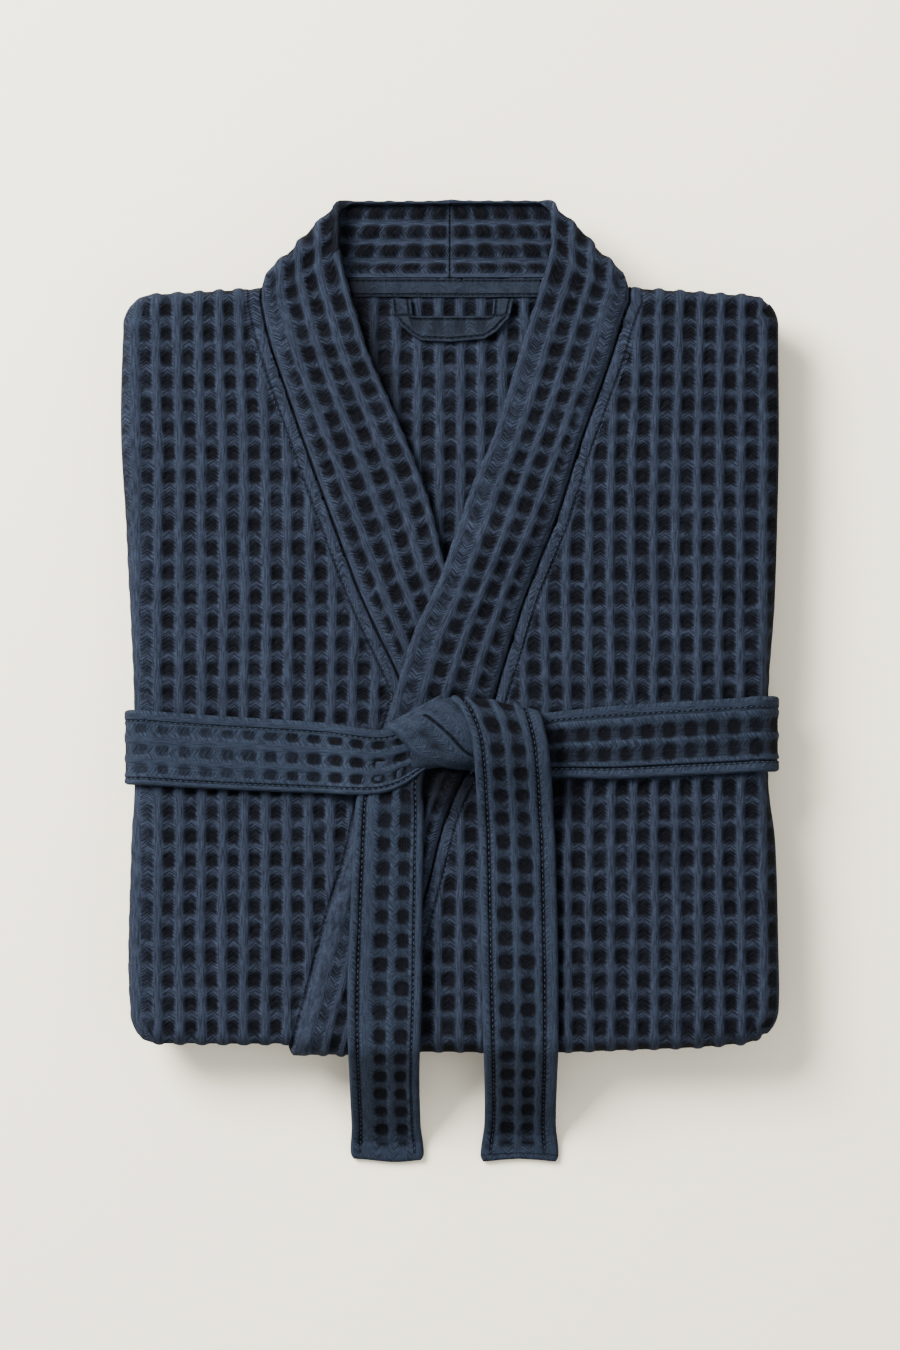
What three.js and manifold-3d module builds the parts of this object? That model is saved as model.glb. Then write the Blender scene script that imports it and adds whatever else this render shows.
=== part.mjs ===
// A kimono bathrobe of waffle-weave cotton, folded flat on its back, with its belt tied round it in a
// half knot. Millimetres. +X is to the right as one looks down on it, +Y runs from the hem fold to the
// collar, +Z is up, and the bundle rests on Z = 0. In the names of panels and collar halves, left and
// right are the wearer's: the left front lies over the right one.
import * as THREE from 'three';
import { mergeVertices } from 'three/addons/utils/BufferGeometryUtils.js';
import Module from 'manifold-3d';

const wasm = await Module();
wasm.setup();
const { clamp, smoothstep, lerp } = THREE.MathUtils;

// ---- driving dimensions -------------------------------------------------------------------------

const GAP = 0.3; // between pieces that touch
const CLOTH = 3; // waffle cloth, ridge to ridge
const COLLAR_CLOTH = 5.6; // the collar band, which is doubled
const BELT_CLOTH = 3.6; // the belt, a pressed tube of the same cloth
const TAPE_CLOTH = 1.2; // plain neck tape
const LOOP_CLOTH = 3; // hanger loop
const CELL = { across: 12, along: 13.3 }; // one cell of the weave
const PIT = 1.6; // how far a cell sinks below its ridges
const BELT_PIT = 0.9; // the cells of the pressed belt are shallow

// The hidden layers. Their crown falls to nothing at crownX and crownY, and a fold roll runs round their top.
const PILE = { height: 33, crown: 2, crownX: 190, crownY: 230, roll: 4.5, corner: 9 };
const CINCH = { y: -36, depth: 1.5, reach: 40 }; // the belt draws the pile in
const OVERLAP = { extra: CLOTH + GAP, full: 10, none: 60 }; // from this Y down the right front runs under
const NECK = 2.5; // how far the pile is drawn in under the top roll
const ROLL_STEPS = 4;
// The lower fold rolls wander in and out: a mean, and waves by the number of grid lines round the rim.
const RAGGED = {
  mean: 1.3,
  waves: [
    { size: 1.2, turn: 0.19, start: 0 },
    { size: 0.6, turn: 0.43, start: 1 },
  ],
};

// The outline of the hidden layers: the sides at each Y, the shoulder fold at each distance from the
// middle, and the hem fold at each X, where the right front (under) and the left front (over) wrap it.
const SIDES = [
  { y: -200, left: -173.5, right: 178.5 },
  { y: -176, left: -175.4, right: 180 },
  { y: -148, left: -176.1, right: 179.5 },
  { y: -90, left: -174.6, right: 177.8 },
  { y: -62, left: -172.4, right: 174.8 },
  { y: -37, left: -172.4, right: 174.3 },
  { y: 5, left: -173.6, right: 175.2 },
  { y: 45, left: -175.6, right: 177.8 },
  { y: 90, left: -177.6, right: 179 },
  { y: 140, left: -180, right: 179.8 },
  { y: 206, left: -178.5, right: 179.5 },
];
const SHOULDERS = [
  { x: 0, y: 223.2 },
  { x: 182, y: 211.6 },
];
const HEM = [
  { x: -176, under: -198.6, over: -201 },
  { x: -95, under: -199.3, over: -202.4 },
  { x: 0, under: -199.5, over: -203.3 },
  { x: 61, under: -199.5, over: -203.4 },
  { x: 128, under: -198.5, over: -201.3 },
  { x: 178, under: -197, over: -198 },
];

// The collar band, edge to edge: the fold edge that borders the neckline, and the seam to the front.
// The first row of each is where the band turns round the neck.
const COLLAR_RIGHT = [
  { foldX: -60.5, foldY: 240, seamX: -105, seamY: 211 },
  { foldX: -54.8, foldY: 217, seamX: -104, seamY: 205 },
  { foldX: -49.5, foldY: 200, seamX: -101, seamY: 192 },
  { foldX: -44.4, foldY: 183, seamX: -96, seamY: 176 },
  { foldX: -25.6, foldY: 139.9, seamX: -79, seamY: 127 },
  { foldX: -11.1, foldY: 102.6, seamX: -63.5, seamY: 84.5 },
  { foldX: -2.2, foldY: 67.6, seamX: -48, seamY: 44 },
  { foldX: 8, foldY: 32, seamX: -29.4, seamY: 4.9 },
  { foldX: 16, foldY: 8, seamX: -19, seamY: -18 },
];
const COLLAR_LEFT = [
  { foldX: 55.3, foldY: 240, seamX: 99.9, seamY: 211 },
  { foldX: 48.5, foldY: 217, seamX: 97.3, seamY: 205 },
  { foldX: 43.3, foldY: 200, seamX: 93.5, seamY: 193.5 },
  { foldX: 38.9, foldY: 185.4, seamX: 88.5, seamY: 177 },
  { foldX: 23.9, foldY: 137.6, seamX: 72, seamY: 131 },
  { foldX: 11.1, foldY: 107.6, seamX: 60, seamY: 93 },
  { foldX: -6.1, foldY: 58.2, seamX: 42.5, seamY: 48.5 },
  { foldX: -21.1, foldY: 26, seamX: 30.5, seamY: 11 },
  { foldX: -35.6, foldY: -21.3, seamX: 18, seamY: -30 },
  { foldX: -50.6, foldY: -64.6, seamX: -1.5, seamY: -73 },
  { foldX: -58.3, foldY: -97.9, seamX: -11, seamY: -108 },
  { foldX: -67.8, foldY: -128.5, seamX: -20, seamY: -140 },
  { foldX: -78.9, foldY: -170.7, seamX: -31, seamY: -178 },
  { foldX: -84.9, foldY: -192.5, seamX: -36.3, seamY: -194.5 },
  { foldX: -87.8, foldY: -204, seamX: -39, seamY: -204.5 },
  { foldX: -90.6, foldY: -215.5, seamX: -41.5, seamY: -215.5 },
];
const COLLAR_LEFT_TURN = { row: 13, rows: 5 }; // from this row on it turns under the hem fold
const BAND_ROWS = { right: 20, left: 36 }; // rows of cells down each half
// Where each half turns round the neck: its fold lies at 45 degrees, at this sum of |X| and Y.
const NECK_FOLD = { right: 330, left: 325, inside: 0.8, steps: 5, backRows: 4 };
// Where the bands cross: the left one rises over the right one between these Y values.
const CROSSING = { top: 100, high: 72, low: 2, bottom: -13, across: 0.35, extra: COLLAR_CLOTH - CLOTH };
// How far the right band and front run on under the left band's fold edge, and where past it the pile
// steps up.
const HIDDEN = { band: 8, front: 6, frontFrom: -14, pileFrom: 40, pileTo: 52, bandEnd: -2, rollFrom: -100 };
const FRONTS = { rightTo: -18, rightSeamEnd: -6, leftFrom: -54 };

const BACK = { halfWidth: 72, bottom: 40, tip: 48, edgesTo: 60, rows: 13, top: 223.4, margin: 10 };
const TAPE = { left: -53.6, right: 48, bottom: 213.6, top: 221.8 };
const LOOP = { left: -32.6, right: 35.4, top: 212.6, strapTop: 203.2, tab: 11.2, lean: 1, bevel: 0.6 };
// The lower edge of the hanger loop, from left to right, between the outer corners of its two tabs.
const LOOP_EDGE = [
  { x: -31.6, y: 203.8 },
  { x: -27.2, y: 197.6 },
  { x: -20.6, y: 192.1 },
  { x: -15.6, y: 189.3 },
  { x: 0, y: 188.6 },
  { x: 20, y: 190.6 },
  { x: 26.1, y: 194.6 },
  { x: 33.3, y: 202.6 },
];

// The belt: the Y of its two edges at each X on the top of the bundle, and how far it stands off the sides.
const BELT_LEFT = [
  { x: -172, top: -15.7, bottom: -57.4 },
  { x: -134, top: -18.5, bottom: -59.6 },
  { x: -67, top: -22.9, bottom: -62.2 },
  { x: -34, top: -27.4, bottom: -61.5 },
];
const BELT_RIGHT = [
  { x: 44, top: -18.5, bottom: -53.4 },
  { x: 61, top: -16.3, bottom: -53.2 },
  { x: 89, top: -13.4, bottom: -54 },
  { x: 126, top: -11, bottom: -52.4 },
  { x: 175, top: -8, bottom: -50.1 },
];
const BELT_TURN = { out: 7.1, foot: 6, seam: 140 };
const BELT_ROOM = { aside: 0.8, above: 0.5 }; // round the belt under the pile
const KNOT_CLIMB = { from: -74, to: -54, loft: 1.8 }; // the left stretch climbs over the band to the knot
const KNOT = [
  { x: -33.5, y: -44, wide: 28, high: 5, base: 44.4 },
  { x: -27, y: -40, wide: 34, high: 8.5, base: 43.3 },
  { x: -17, y: -34.5, wide: 37, high: 10.5, base: 43.7 },
  { x: -6, y: -31.5, wide: 35, high: 11, base: 43.7 },
  { x: 8, y: -31, wide: 34, high: 11, base: 43.2 },
  { x: 26, y: -31, wide: 33, high: 10, base: 43.2 },
  { x: 40, y: -32, wide: 30, high: 7, base: 43.2 },
  { x: 43, y: -32, wide: 24, high: 4.5, base: 43.2 },
];
const KNOT_SECTION = { sides: 12, flat: 0.35, capHigh: 0.4 }; // flat: how much of a radius is cut off below
// A tail: its two edges at each Y, and its height over the cloth it lies on.
const TAIL_LEFT = [
  { y: -63, left: -51.4, right: -15, rise: 0.2 },
  { y: -72, left: -52.6, right: -14.4, rise: 0.2 },
  { y: -126, left: -55.2, right: -15, rise: 0.2 },
  { y: -177, left: -57, right: -15.6, rise: 0.2 },
  { y: -222, left: -56, right: -17, rise: 0 },
  { y: -271, left: -54.6, right: -15.6, rise: 0 },
];
const TAIL_RIGHT = [
  { y: -9.3, left: 0.5, right: 50, rise: 3 },
  { y: -9.9, left: 0.6, right: 50.4, rise: 8.5 },
  { y: -16, left: 3, right: 51.6, rise: 13.4 },
  { y: -30, left: 10.4, right: 54, rise: 15.4 },
  { y: -44, left: 13.4, right: 55.4, rise: 13.8 },
  { y: -58, left: 14.4, right: 56.6, rise: 7.5 },
  { y: -76, left: 15.4, right: 57.6, rise: 1.6 },
  { y: -92, left: 16, right: 58.6, rise: 0.2 },
  { y: -150, left: 17, right: 60, rise: 0.2 },
  { y: -198, left: 18.4, right: 60.2, rise: 0.2 },
  { y: -240, left: 19.4, right: 59.4, rise: 0 },
  { y: -271, left: 18, right: 60, rise: 0 },
];
// Past the hem fold a tail slopes down to the floor, with rows at these shares of the drop.
const TAIL_DROP = { slope: 0.78, rows: [0.3, 0.6, 0.86], ease: 4, clear: 0.2, end: -268.8, aboveFloor: 0.2 };

const NAVY = { color: 0x3a465c, roughness: 0.95, metalness: 0 };
const NAVY_DEEP = { color: 0x2b3446, roughness: 0.97, metalness: 0 };

// ---- reading the tables -------------------------------------------------------------------------

// A smooth reading of one column of a table at a value of its key column.
function read(table, key, at, column) {
  const rising = table[0][key] < table[table.length - 1][key];
  const rows = rising ? table : [...table].reverse();
  const place = clamp(at, rows[0][key], rows[rows.length - 1][key]);
  let i = 0;
  while (i < rows.length - 2 && rows[i + 1][key] < place) i += 1;
  const slopeAt = (j) => {
    const low = rows[Math.max(j - 1, 0)];
    const high = rows[Math.min(j + 1, rows.length - 1)];
    return (high[column] - low[column]) / (high[key] - low[key]);
  };
  const span = rows[i + 1][key] - rows[i][key];
  const t = (place - rows[i][key]) / span;
  const start = rows[i][column] * (1 + t * t * (2 * t - 3)) + rows[i + 1][column] * t * t * (3 - 2 * t);
  return start + span * t * (1 - t) * (slopeAt(i) * (1 - t) - slopeAt(i + 1) * t);
}

// A point along one edge of a band, at a fraction of its rows.
function edgePoint(table, names, fraction) {
  const rows = table.map((row, index) => ({ index, x: row[names[0]], y: row[names[1]] }));
  const at = fraction * (rows.length - 1);
  return { x: read(rows, 'index', at, 'x'), y: read(rows, 'index', at, 'y') };
}

const steps = (from, to, count) => Array.from({ length: count + 1 }, (_, i) => lerp(from, to, i / count));

// ---- the pile and what wraps it -----------------------------------------------------------------

// How much higher the left front lies where the right front is under it.
const overlapAt = (y) => OVERLAP.extra * (1 - smoothstep(y, OVERLAP.full, OVERLAP.none));

// The radius of the top roll, and the radius at which the cloth that wraps it bends.
const rollAt = (y, over) => PILE.roll + over * overlapAt(y);
const bendAt = (y, over) => rollAt(y, over) + GAP + CLOTH / 2;

const rollStarts = (x, y, over) => ({
  left: read(SIDES, 'y', y, 'left') + rollAt(y, over),
  right: read(SIDES, 'y', y, 'right') - rollAt(y, over),
  top: read(SHOULDERS, 'x', Math.abs(x), 'y') - PILE.roll,
  bottom: lerp(read(HEM, 'x', x, 'under'), read(HEM, 'x', x, 'over'), over) + rollAt(y, over),
});

function pileHeight(x, y, over) {
  const crown = PILE.crown * (1 - (x / PILE.crownX) ** 2) * (1 - (y / PILE.crownY) ** 2);
  const cinch = CINCH.depth * Math.exp(-(((y - CINCH.y) / CINCH.reach) ** 2));
  return PILE.height + Math.max(crown, 0) - cinch + over * overlapAt(y);
}

// Where a point of the spread-out cloth leaves the flat top of the pile. The collar lies flat past the
// shoulders.
function edgeFoot(x, y, over, pastShoulders) {
  const start = rollStarts(x, y, over);
  const top = pastShoulders ? TRIM.far : start.top - PILE.corner;
  const cornerY = clamp(y, start.bottom + PILE.corner, top);
  const side = rollStarts(x, cornerY, over);
  const cornerX = clamp(x, side.left + PILE.corner, side.right - PILE.corner);
  const away = new THREE.Vector2(x - cornerX, y - cornerY);
  const reach = Math.max(Math.abs(away.x), Math.abs(away.y));
  if (reach > 0) away.normalize();
  const flat = Math.min(reach, PILE.corner);
  return { x: cornerX + away.x * flat, y: cornerY + away.y * flat, away, past: reach - PILE.corner };
}

// Where a point of the spread-out cloth lies once the cloth is turned over the edges of the pile.
function wrap(x, y, lift, over, pastShoulders = false) {
  const foot = edgeFoot(x, y, over, pastShoulders);
  const height = pileHeight(foot.x, Math.min(foot.y, FLAT_Y.to), over);
  if (foot.past <= 0) return new THREE.Vector3(foot.x, foot.y, height + lift);
  const roll = rollAt(foot.y, over);
  const bend = bendAt(foot.y, over);
  const turn = Math.min(foot.past / bend, Math.PI);
  const under = Math.max(foot.past - Math.PI * bend, 0);
  const out = (roll + lift) * Math.sin(turn) - under;
  const z = height - roll + (roll + lift) * Math.cos(turn);
  return new THREE.Vector3(foot.x + foot.away.x * out, foot.y + foot.away.y * out, z);
}

// Grid lines over the whole bundle: the roll on each side, and between them the lines of the weave.
const flatLines = (from, to, pitch) => steps(from, to, Math.round((to - from) / pitch));
const FLAT_X = { from: -162, to: 162 };
const FLAT_Y = { from: -186, to: 186 + CELL.along };

// Spread-out coordinates of grid line i of a list, where the outer lines follow the edges of the pile.
function gridPoint(columns, rows, i, j, over) {
  const column = columns[i];
  const row = rows[j];
  const nearX = column.flat ?? (column.side < 0 ? FLAT_X.from : FLAT_X.to);
  const nearY = row.flat ?? (row.side < 0 ? FLAT_Y.from : FLAT_Y.to);
  const start = rollStarts(nearX, nearY, over);
  const past = (line) => line.turn * bendAt(nearY, over);
  const x = column.flat ?? (column.side < 0 ? start.left - past(column) : start.right + past(column));
  const y = row.flat ?? (row.side < 0 ? start.bottom - past(row) : start.top + past(row));
  return { x, y };
}

function rollLines(side) {
  const lines = steps(0, Math.PI, ROLL_STEPS).map((turn) => ({ side, turn }));
  return side < 0 ? lines.reverse() : lines;
}

// ---- walls --------------------------------------------------------------------------------------

class MeshBuilder {
  constructor() {
    this.points = [];
    this.faces = [];
  }

  point(vector) {
    this.points.push(vector.x, vector.y, vector.z);
    return this.points.length / 3 - 1;
  }

  quad(a, b, c, d) {
    this.faces.push(a, b, c, a, c, d);
  }

  geometry() {
    const geometry = new THREE.BufferGeometry();
    geometry.setAttribute('position', new THREE.Float32BufferAttribute(this.points, 3));
    geometry.setIndex(this.faces);
    return geometry;
  }
}

// A closed wall between two grids of points. A cell for which pit gives a depth gets a sunk middle point.
function wall(columns, rows, inner, outer, pit = () => 0) {
  const build = new MeshBuilder();
  const top = [];
  const bottom = [];
  for (let j = 0; j < rows; j += 1) {
    top.push(Array.from({ length: columns }, (_, i) => build.point(outer(i, j))));
    bottom.push(Array.from({ length: columns }, (_, i) => build.point(inner(i, j))));
  }
  for (let j = 0; j < rows - 1; j += 1) {
    for (let i = 0; i < columns - 1; i += 1) {
      const corners = [top[j][i], top[j][i + 1], top[j + 1][i + 1], top[j + 1][i]];
      const depth = pit(i, j);
      if (depth > 0) {
        const middle = new THREE.Vector3();
        for (const [di, dj] of [[0, 0], [1, 0], [1, 1], [0, 1]]) {
          middle.addScaledVector(outer(i + di, j + dj), 0.25);
        }
        const across = outer(i + 1, j + 1).sub(outer(i, j));
        const normal = across.cross(outer(i, j + 1).sub(outer(i + 1, j))).normalize();
        const centre = build.point(middle.addScaledVector(normal, -depth));
        corners.forEach((corner, k) => build.faces.push(corner, corners[(k + 1) % 4], centre));
      } else {
        build.quad(...corners);
      }
      build.quad(bottom[j][i], bottom[j + 1][i], bottom[j + 1][i + 1], bottom[j][i + 1]);
    }
  }
  for (let i = 0; i < columns - 1; i += 1) {
    build.quad(bottom[0][i], bottom[0][i + 1], top[0][i + 1], top[0][i]);
    build.quad(top[rows - 1][i], top[rows - 1][i + 1], bottom[rows - 1][i + 1], bottom[rows - 1][i]);
  }
  for (let j = 0; j < rows - 1; j += 1) {
    build.quad(top[j][0], top[j + 1][0], bottom[j + 1][0], bottom[j][0]);
    const end = columns - 1;
    build.quad(bottom[j][end], bottom[j + 1][end], top[j + 1][end], top[j][end]);
  }
  return build.geometry();
}

// A closed wall on both sides of a sheet of middle points, offset along the sheet's own normals.
function offsetWall(columns, rows, middle, thickness, pit) {
  const sheet = [];
  for (let j = 0; j < rows; j += 1) sheet.push(Array.from({ length: columns }, (_, i) => middle(i, j)));
  const normalAt = (i, j) => {
    const across = sheet[j][Math.min(i + 1, columns - 1)].clone().sub(sheet[j][Math.max(i - 1, 0)]);
    const along = sheet[Math.min(j + 1, rows - 1)][i].clone().sub(sheet[Math.max(j - 1, 0)][i]);
    return across.cross(along).normalize();
  };
  const side = (sign) => (i, j) => {
    const half = (sign * thickness(i, j)) / 2;
    return sheet[j][i].clone().addScaledVector(normalAt(i, j), half);
  };
  return wall(columns, rows, side(-1), side(1), pit);
}

function toSolid(geometry) {
  const plain = new THREE.BufferGeometry();
  plain.setAttribute('position', geometry.getAttribute('position').clone());
  if (geometry.index) plain.setIndex(geometry.index.clone());
  const merged = mergeVertices(plain, 1e-4);
  return new wasm.Manifold(new wasm.Mesh({
    numProp: 3,
    vertProperties: new Float32Array(merged.getAttribute('position').array),
    triVerts: new Uint32Array(merged.index.array),
  }));
}

function fromSolid(solid) {
  const mesh = solid.getMesh();
  const geometry = new THREE.BufferGeometry();
  geometry.setAttribute('position', new THREE.BufferAttribute(mesh.vertProperties, mesh.numProp));
  geometry.setIndex(new THREE.BufferAttribute(mesh.triVerts, 1));
  return geometry;
}

// An upright prism over a plan outline, to trim the panels with.
function prism(outline, low, high) {
  const shape = new THREE.Shape(outline.map(({ x, y }) => new THREE.Vector2(x, y)));
  const geometry = new THREE.ExtrudeGeometry(shape, { depth: high - low, bevelEnabled: false });
  geometry.translate(0, 0, low);
  return toSolid(geometry);
}

const TRIM = { low: -20, high: 90, far: 300 };

// ---- hidden layers ------------------------------------------------------------------------------

// The pile rises under the left front, from a little inside the left band's fold edge.
function pileOver(x, y) {
  const foldX = read(COLLAR_LEFT.map((row) => ({ y: row.foldY, x: row.foldX })), 'y', y, 'x');
  return smoothstep(x - foldX, HIDDEN.pileFrom, HIDDEN.pileTo);
}

function waveAt(k) {
  return RAGGED.waves.reduce((sum, { size, turn, start }) => sum + size * Math.sin(k * turn + start), 0);
}

function foldedLayers() {
  const flatLinesAcross = flatLines(FLAT_X.from, FLAT_X.to, 3 * CELL.across);
  const columns = [...rollLines(-1), ...flatLinesAcross.map((flat) => ({ flat })), ...rollLines(1)];
  // Where the pile is drawn in or steps up it has every line of the weave, and elsewhere every second one.
  const isStep = (y) => y > CINCH.y - CINCH.reach && y < OVERLAP.none + CELL.along;
  const kept = CELL_ROWS.filter((y, j) => isStep(y) || j % 2 === 0 || j === CELL_ROWS.length - 1);
  const rows = [...rollLines(-1), ...kept.map((flat) => ({ flat })), ...rollLines(1)];
  const build = new MeshBuilder();
  const spread = (i, j) => {
    const { x, y } = gridPoint(columns, rows, i, j, 0);
    const over = pileOver(x, y);
    return { ...gridPoint(columns, rows, i, j, over), over };
  };
  const grid = rows.map((_, j) => columns.map((__, i) => {
    const { x, y, over } = spread(i, j);
    return build.point(wrap(x, y, 0, over));
  }));
  for (let j = 0; j < rows.length - 1; j += 1) {
    for (let i = 0; i < columns.length - 1; i += 1) {
      build.quad(grid[j][i], grid[j][i + 1], grid[j + 1][i + 1], grid[j + 1][i]);
    }
  }
  // Round the rim, anticlockwise from the lower left corner.
  const last = { i: columns.length - 1, j: rows.length - 1 };
  const rim = [
    ...columns.slice(0, -1).map((_, i) => [i, 0]),
    ...rows.slice(0, -1).map((_, j) => [last.i, j]),
    ...columns.slice(1).map((_, i) => [last.i - i, last.j]),
    ...rows.slice(1).map((_, j) => [0, last.j - j]),
  ];
  // Below the top roll two more fold rolls show, the lower one wider: each ring's inset from the outline
  // and its share of the height.
  const profile = [
    { neck: NECK, share: null },
    { neck: NECK, share: 1 },
    { inset: 2.8, share: 0.96, ragged: 1 },
    { inset: 0.8, share: 0.78, ragged: 1 },
    { inset: 2.8, share: 0.58, ragged: 1 },
    { inset: 6.5, share: 0.51, ragged: 0.5 },
    { inset: 2, share: 0.43, ragged: 0 },
    { inset: 0.2, share: 0.22, ragged: 0 },
    { inset: 4, share: 0, ragged: 0 },
  ];
  let ring = rim.map(([i, j]) => grid[j][i]);
  profile.forEach(({ neck, inset, share, ragged = 0 }) => {
    const next = rim.map(([i, j], k) => {
      const { x, y, over } = spread(i, j);
      const foot = edgeFoot(x, y, over, false);
      const roll = rollAt(foot.y, over);
      const lower = share !== null && foot.x > HIDDEN.rollFrom ? 1 : over;
      const rollFoot = pileHeight(foot.x, foot.y, lower) - 2 * rollAt(foot.y, lower);
      const z = share === null ? rollFoot : share * (rollFoot - CLOTH - 2 * GAP);
      const wander = ragged * (RAGGED.mean + waveAt(k));
      const out = neck ? -neck : roll - inset - wander;
      return build.point(new THREE.Vector3(foot.x + foot.away.x * out, foot.y + foot.away.y * out, z));
    });
    ring.forEach((_, k) => {
      const n = (k + 1) % ring.length;
      build.quad(ring[k], next[k], next[n], ring[n]);
    });
    ring = next;
  });
  const centre = build.point(new THREE.Vector3(0, 0, 0));
  ring.forEach((_, k) => build.faces.push(ring[k], centre, ring[(k + 1) % ring.length]));
  return toSolid(build.geometry()).subtract(backSolid(GAP, -CLOTH - GAP, CLOTH)).subtract(beltGroove());
}

// ---- fronts and back ----------------------------------------------------------------------------

// A panel of cloth on the pile, from one list of grid lines to another, with a pit in each whole cell.
function panel(columns, rows, inner, outer, over) {
  const place = (lift) => (i, j) => {
    const { x, y } = gridPoint(columns, rows, i, j, over);
    return wrap(x, y, lift, over);
  };
  const isFlat = (list, i) => list[i].flat !== undefined && list[i + 1].flat !== undefined;
  const pit = (i, j) => (isFlat(columns, i) && isFlat(rows, j) ? PIT : 0);
  return wall(columns.length, rows.length, place(inner), place(outer), pit);
}

const CELL_ROWS = flatLines(FLAT_Y.from, FLAT_Y.to, CELL.along);
const ALL_ROWS = [...rollLines(-1), ...CELL_ROWS.map((flat) => ({ flat })), ...rollLines(1)];
const flatColumns = (from, to) => flatLines(from, to, CELL.across).map((flat) => ({ flat }));

const EDGE_STEPS = 40;
const NEAR = 0.01; // a short way along an edge, as a share of it, to find its direction

// A band's seam or fold edge as a line of plan points, moved sideways by a distance.
function edgeLine(table, names, shift) {
  return steps(0, 1, EDGE_STEPS).map((fraction) => {
    const at = edgePoint(table, names, fraction);
    const before = edgePoint(table, names, Math.max(fraction - NEAR, 0));
    const after = edgePoint(table, names, Math.min(fraction + NEAR, 1));
    const along = new THREE.Vector2(after.x - before.x, after.y - before.y).normalize();
    return { x: at.x - along.y * shift, y: at.y + along.x * shift };
  });
}

const SEAM = ['seamX', 'seamY'];
const FOLD = ['foldX', 'foldY'];

function frontRight() {
  const columns = [...rollLines(-1), ...flatColumns(FLAT_X.from, FRONTS.rightTo)];
  const body = panel(columns, ALL_ROWS, GAP, GAP + CLOTH, 0);
  const seam = edgeLine(COLLAR_RIGHT, SEAM, -GAP).filter(({ y }) => y > FRONTS.rightSeamEnd);
  const hidden = edgeLine(COLLAR_LEFT, FOLD, HIDDEN.front).filter(({ y }) => y < HIDDEN.frontFrom);
  const end = hidden[hidden.length - 1];
  const rest = [
    { x: seam[0].x, y: TRIM.far },
    ...seam,
    ...hidden,
    { x: end.x, y: -TRIM.far },
    { x: TRIM.far, y: -TRIM.far },
    { x: TRIM.far, y: TRIM.far },
  ];
  return toSolid(body).subtract(prism(rest, TRIM.low, TRIM.high));
}

function frontLeft() {
  const columns = [...flatColumns(FRONTS.leftFrom, FLAT_X.to), ...rollLines(1)];
  const body = panel(columns, ALL_ROWS, GAP, GAP + CLOTH, 1);
  const seam = edgeLine(COLLAR_LEFT, SEAM, GAP);
  const end = seam[seam.length - 1];
  const rest = [
    { x: seam[0].x, y: TRIM.far },
    ...seam,
    { x: end.x, y: -TRIM.far },
    { x: -TRIM.far, y: -TRIM.far },
    { x: -TRIM.far, y: TRIM.far },
  ];
  return toSolid(body).subtract(prism(rest, TRIM.low, TRIM.high));
}

// The back, seen in the neckline, and the same shape a little larger to make room for it in the pile.
function backSolid(room, inner, outer) {
  const columns = flatColumns(-BACK.halfWidth - CELL.across, BACK.halfWidth + CELL.across);
  const cells = flatLines(BACK.bottom - CELL.along, BACK.bottom + BACK.rows * CELL.along, CELL.along);
  const rows = [...cells, BACK.top + room];
  const place = (lift) => (i, j) => {
    const x = columns[i].flat;
    return new THREE.Vector3(x, rows[j], pileHeight(x, rows[j], 0) + lift);
  };
  const body = wall(columns.length, rows.length, place(inner), place(outer), () => (room ? 0 : PIT));
  const spread = BACK.margin + room;
  const right = edgeLine(COLLAR_RIGHT, FOLD, -spread).filter(({ y }) => y > BACK.edgesTo);
  const left = edgeLine(COLLAR_LEFT, FOLD, spread).filter(({ y }) => y > BACK.edgesTo);
  const tip = { x: (right[right.length - 1].x + left[left.length - 1].x) / 2, y: BACK.tip - room };
  const outline = [{ x: right[0].x, y: TRIM.far }, ...right, tip, ...[...left].reverse(),
    { x: left[0].x, y: TRIM.far }];
  return toSolid(body).intersect(prism(outline, TRIM.low, TRIM.high));
}

// ---- collar -------------------------------------------------------------------------------------

// Lines across the band: its rounded fold edge, four cells and the edge at the seam.
const BAND_LINES = [
  { t: 0, under: 0.28, over: 0.62 },
  { t: 0.06, under: 0, over: 0.97 },
  { t: 0.29, under: 0, over: 1 },
  { t: 0.52, under: 0, over: 1 },
  { t: 0.75, under: 0, over: 0.97 },
  { t: 0.97, under: 0, over: 0.78 },
  { t: 1, under: 0, over: 0.6 },
];

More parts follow.
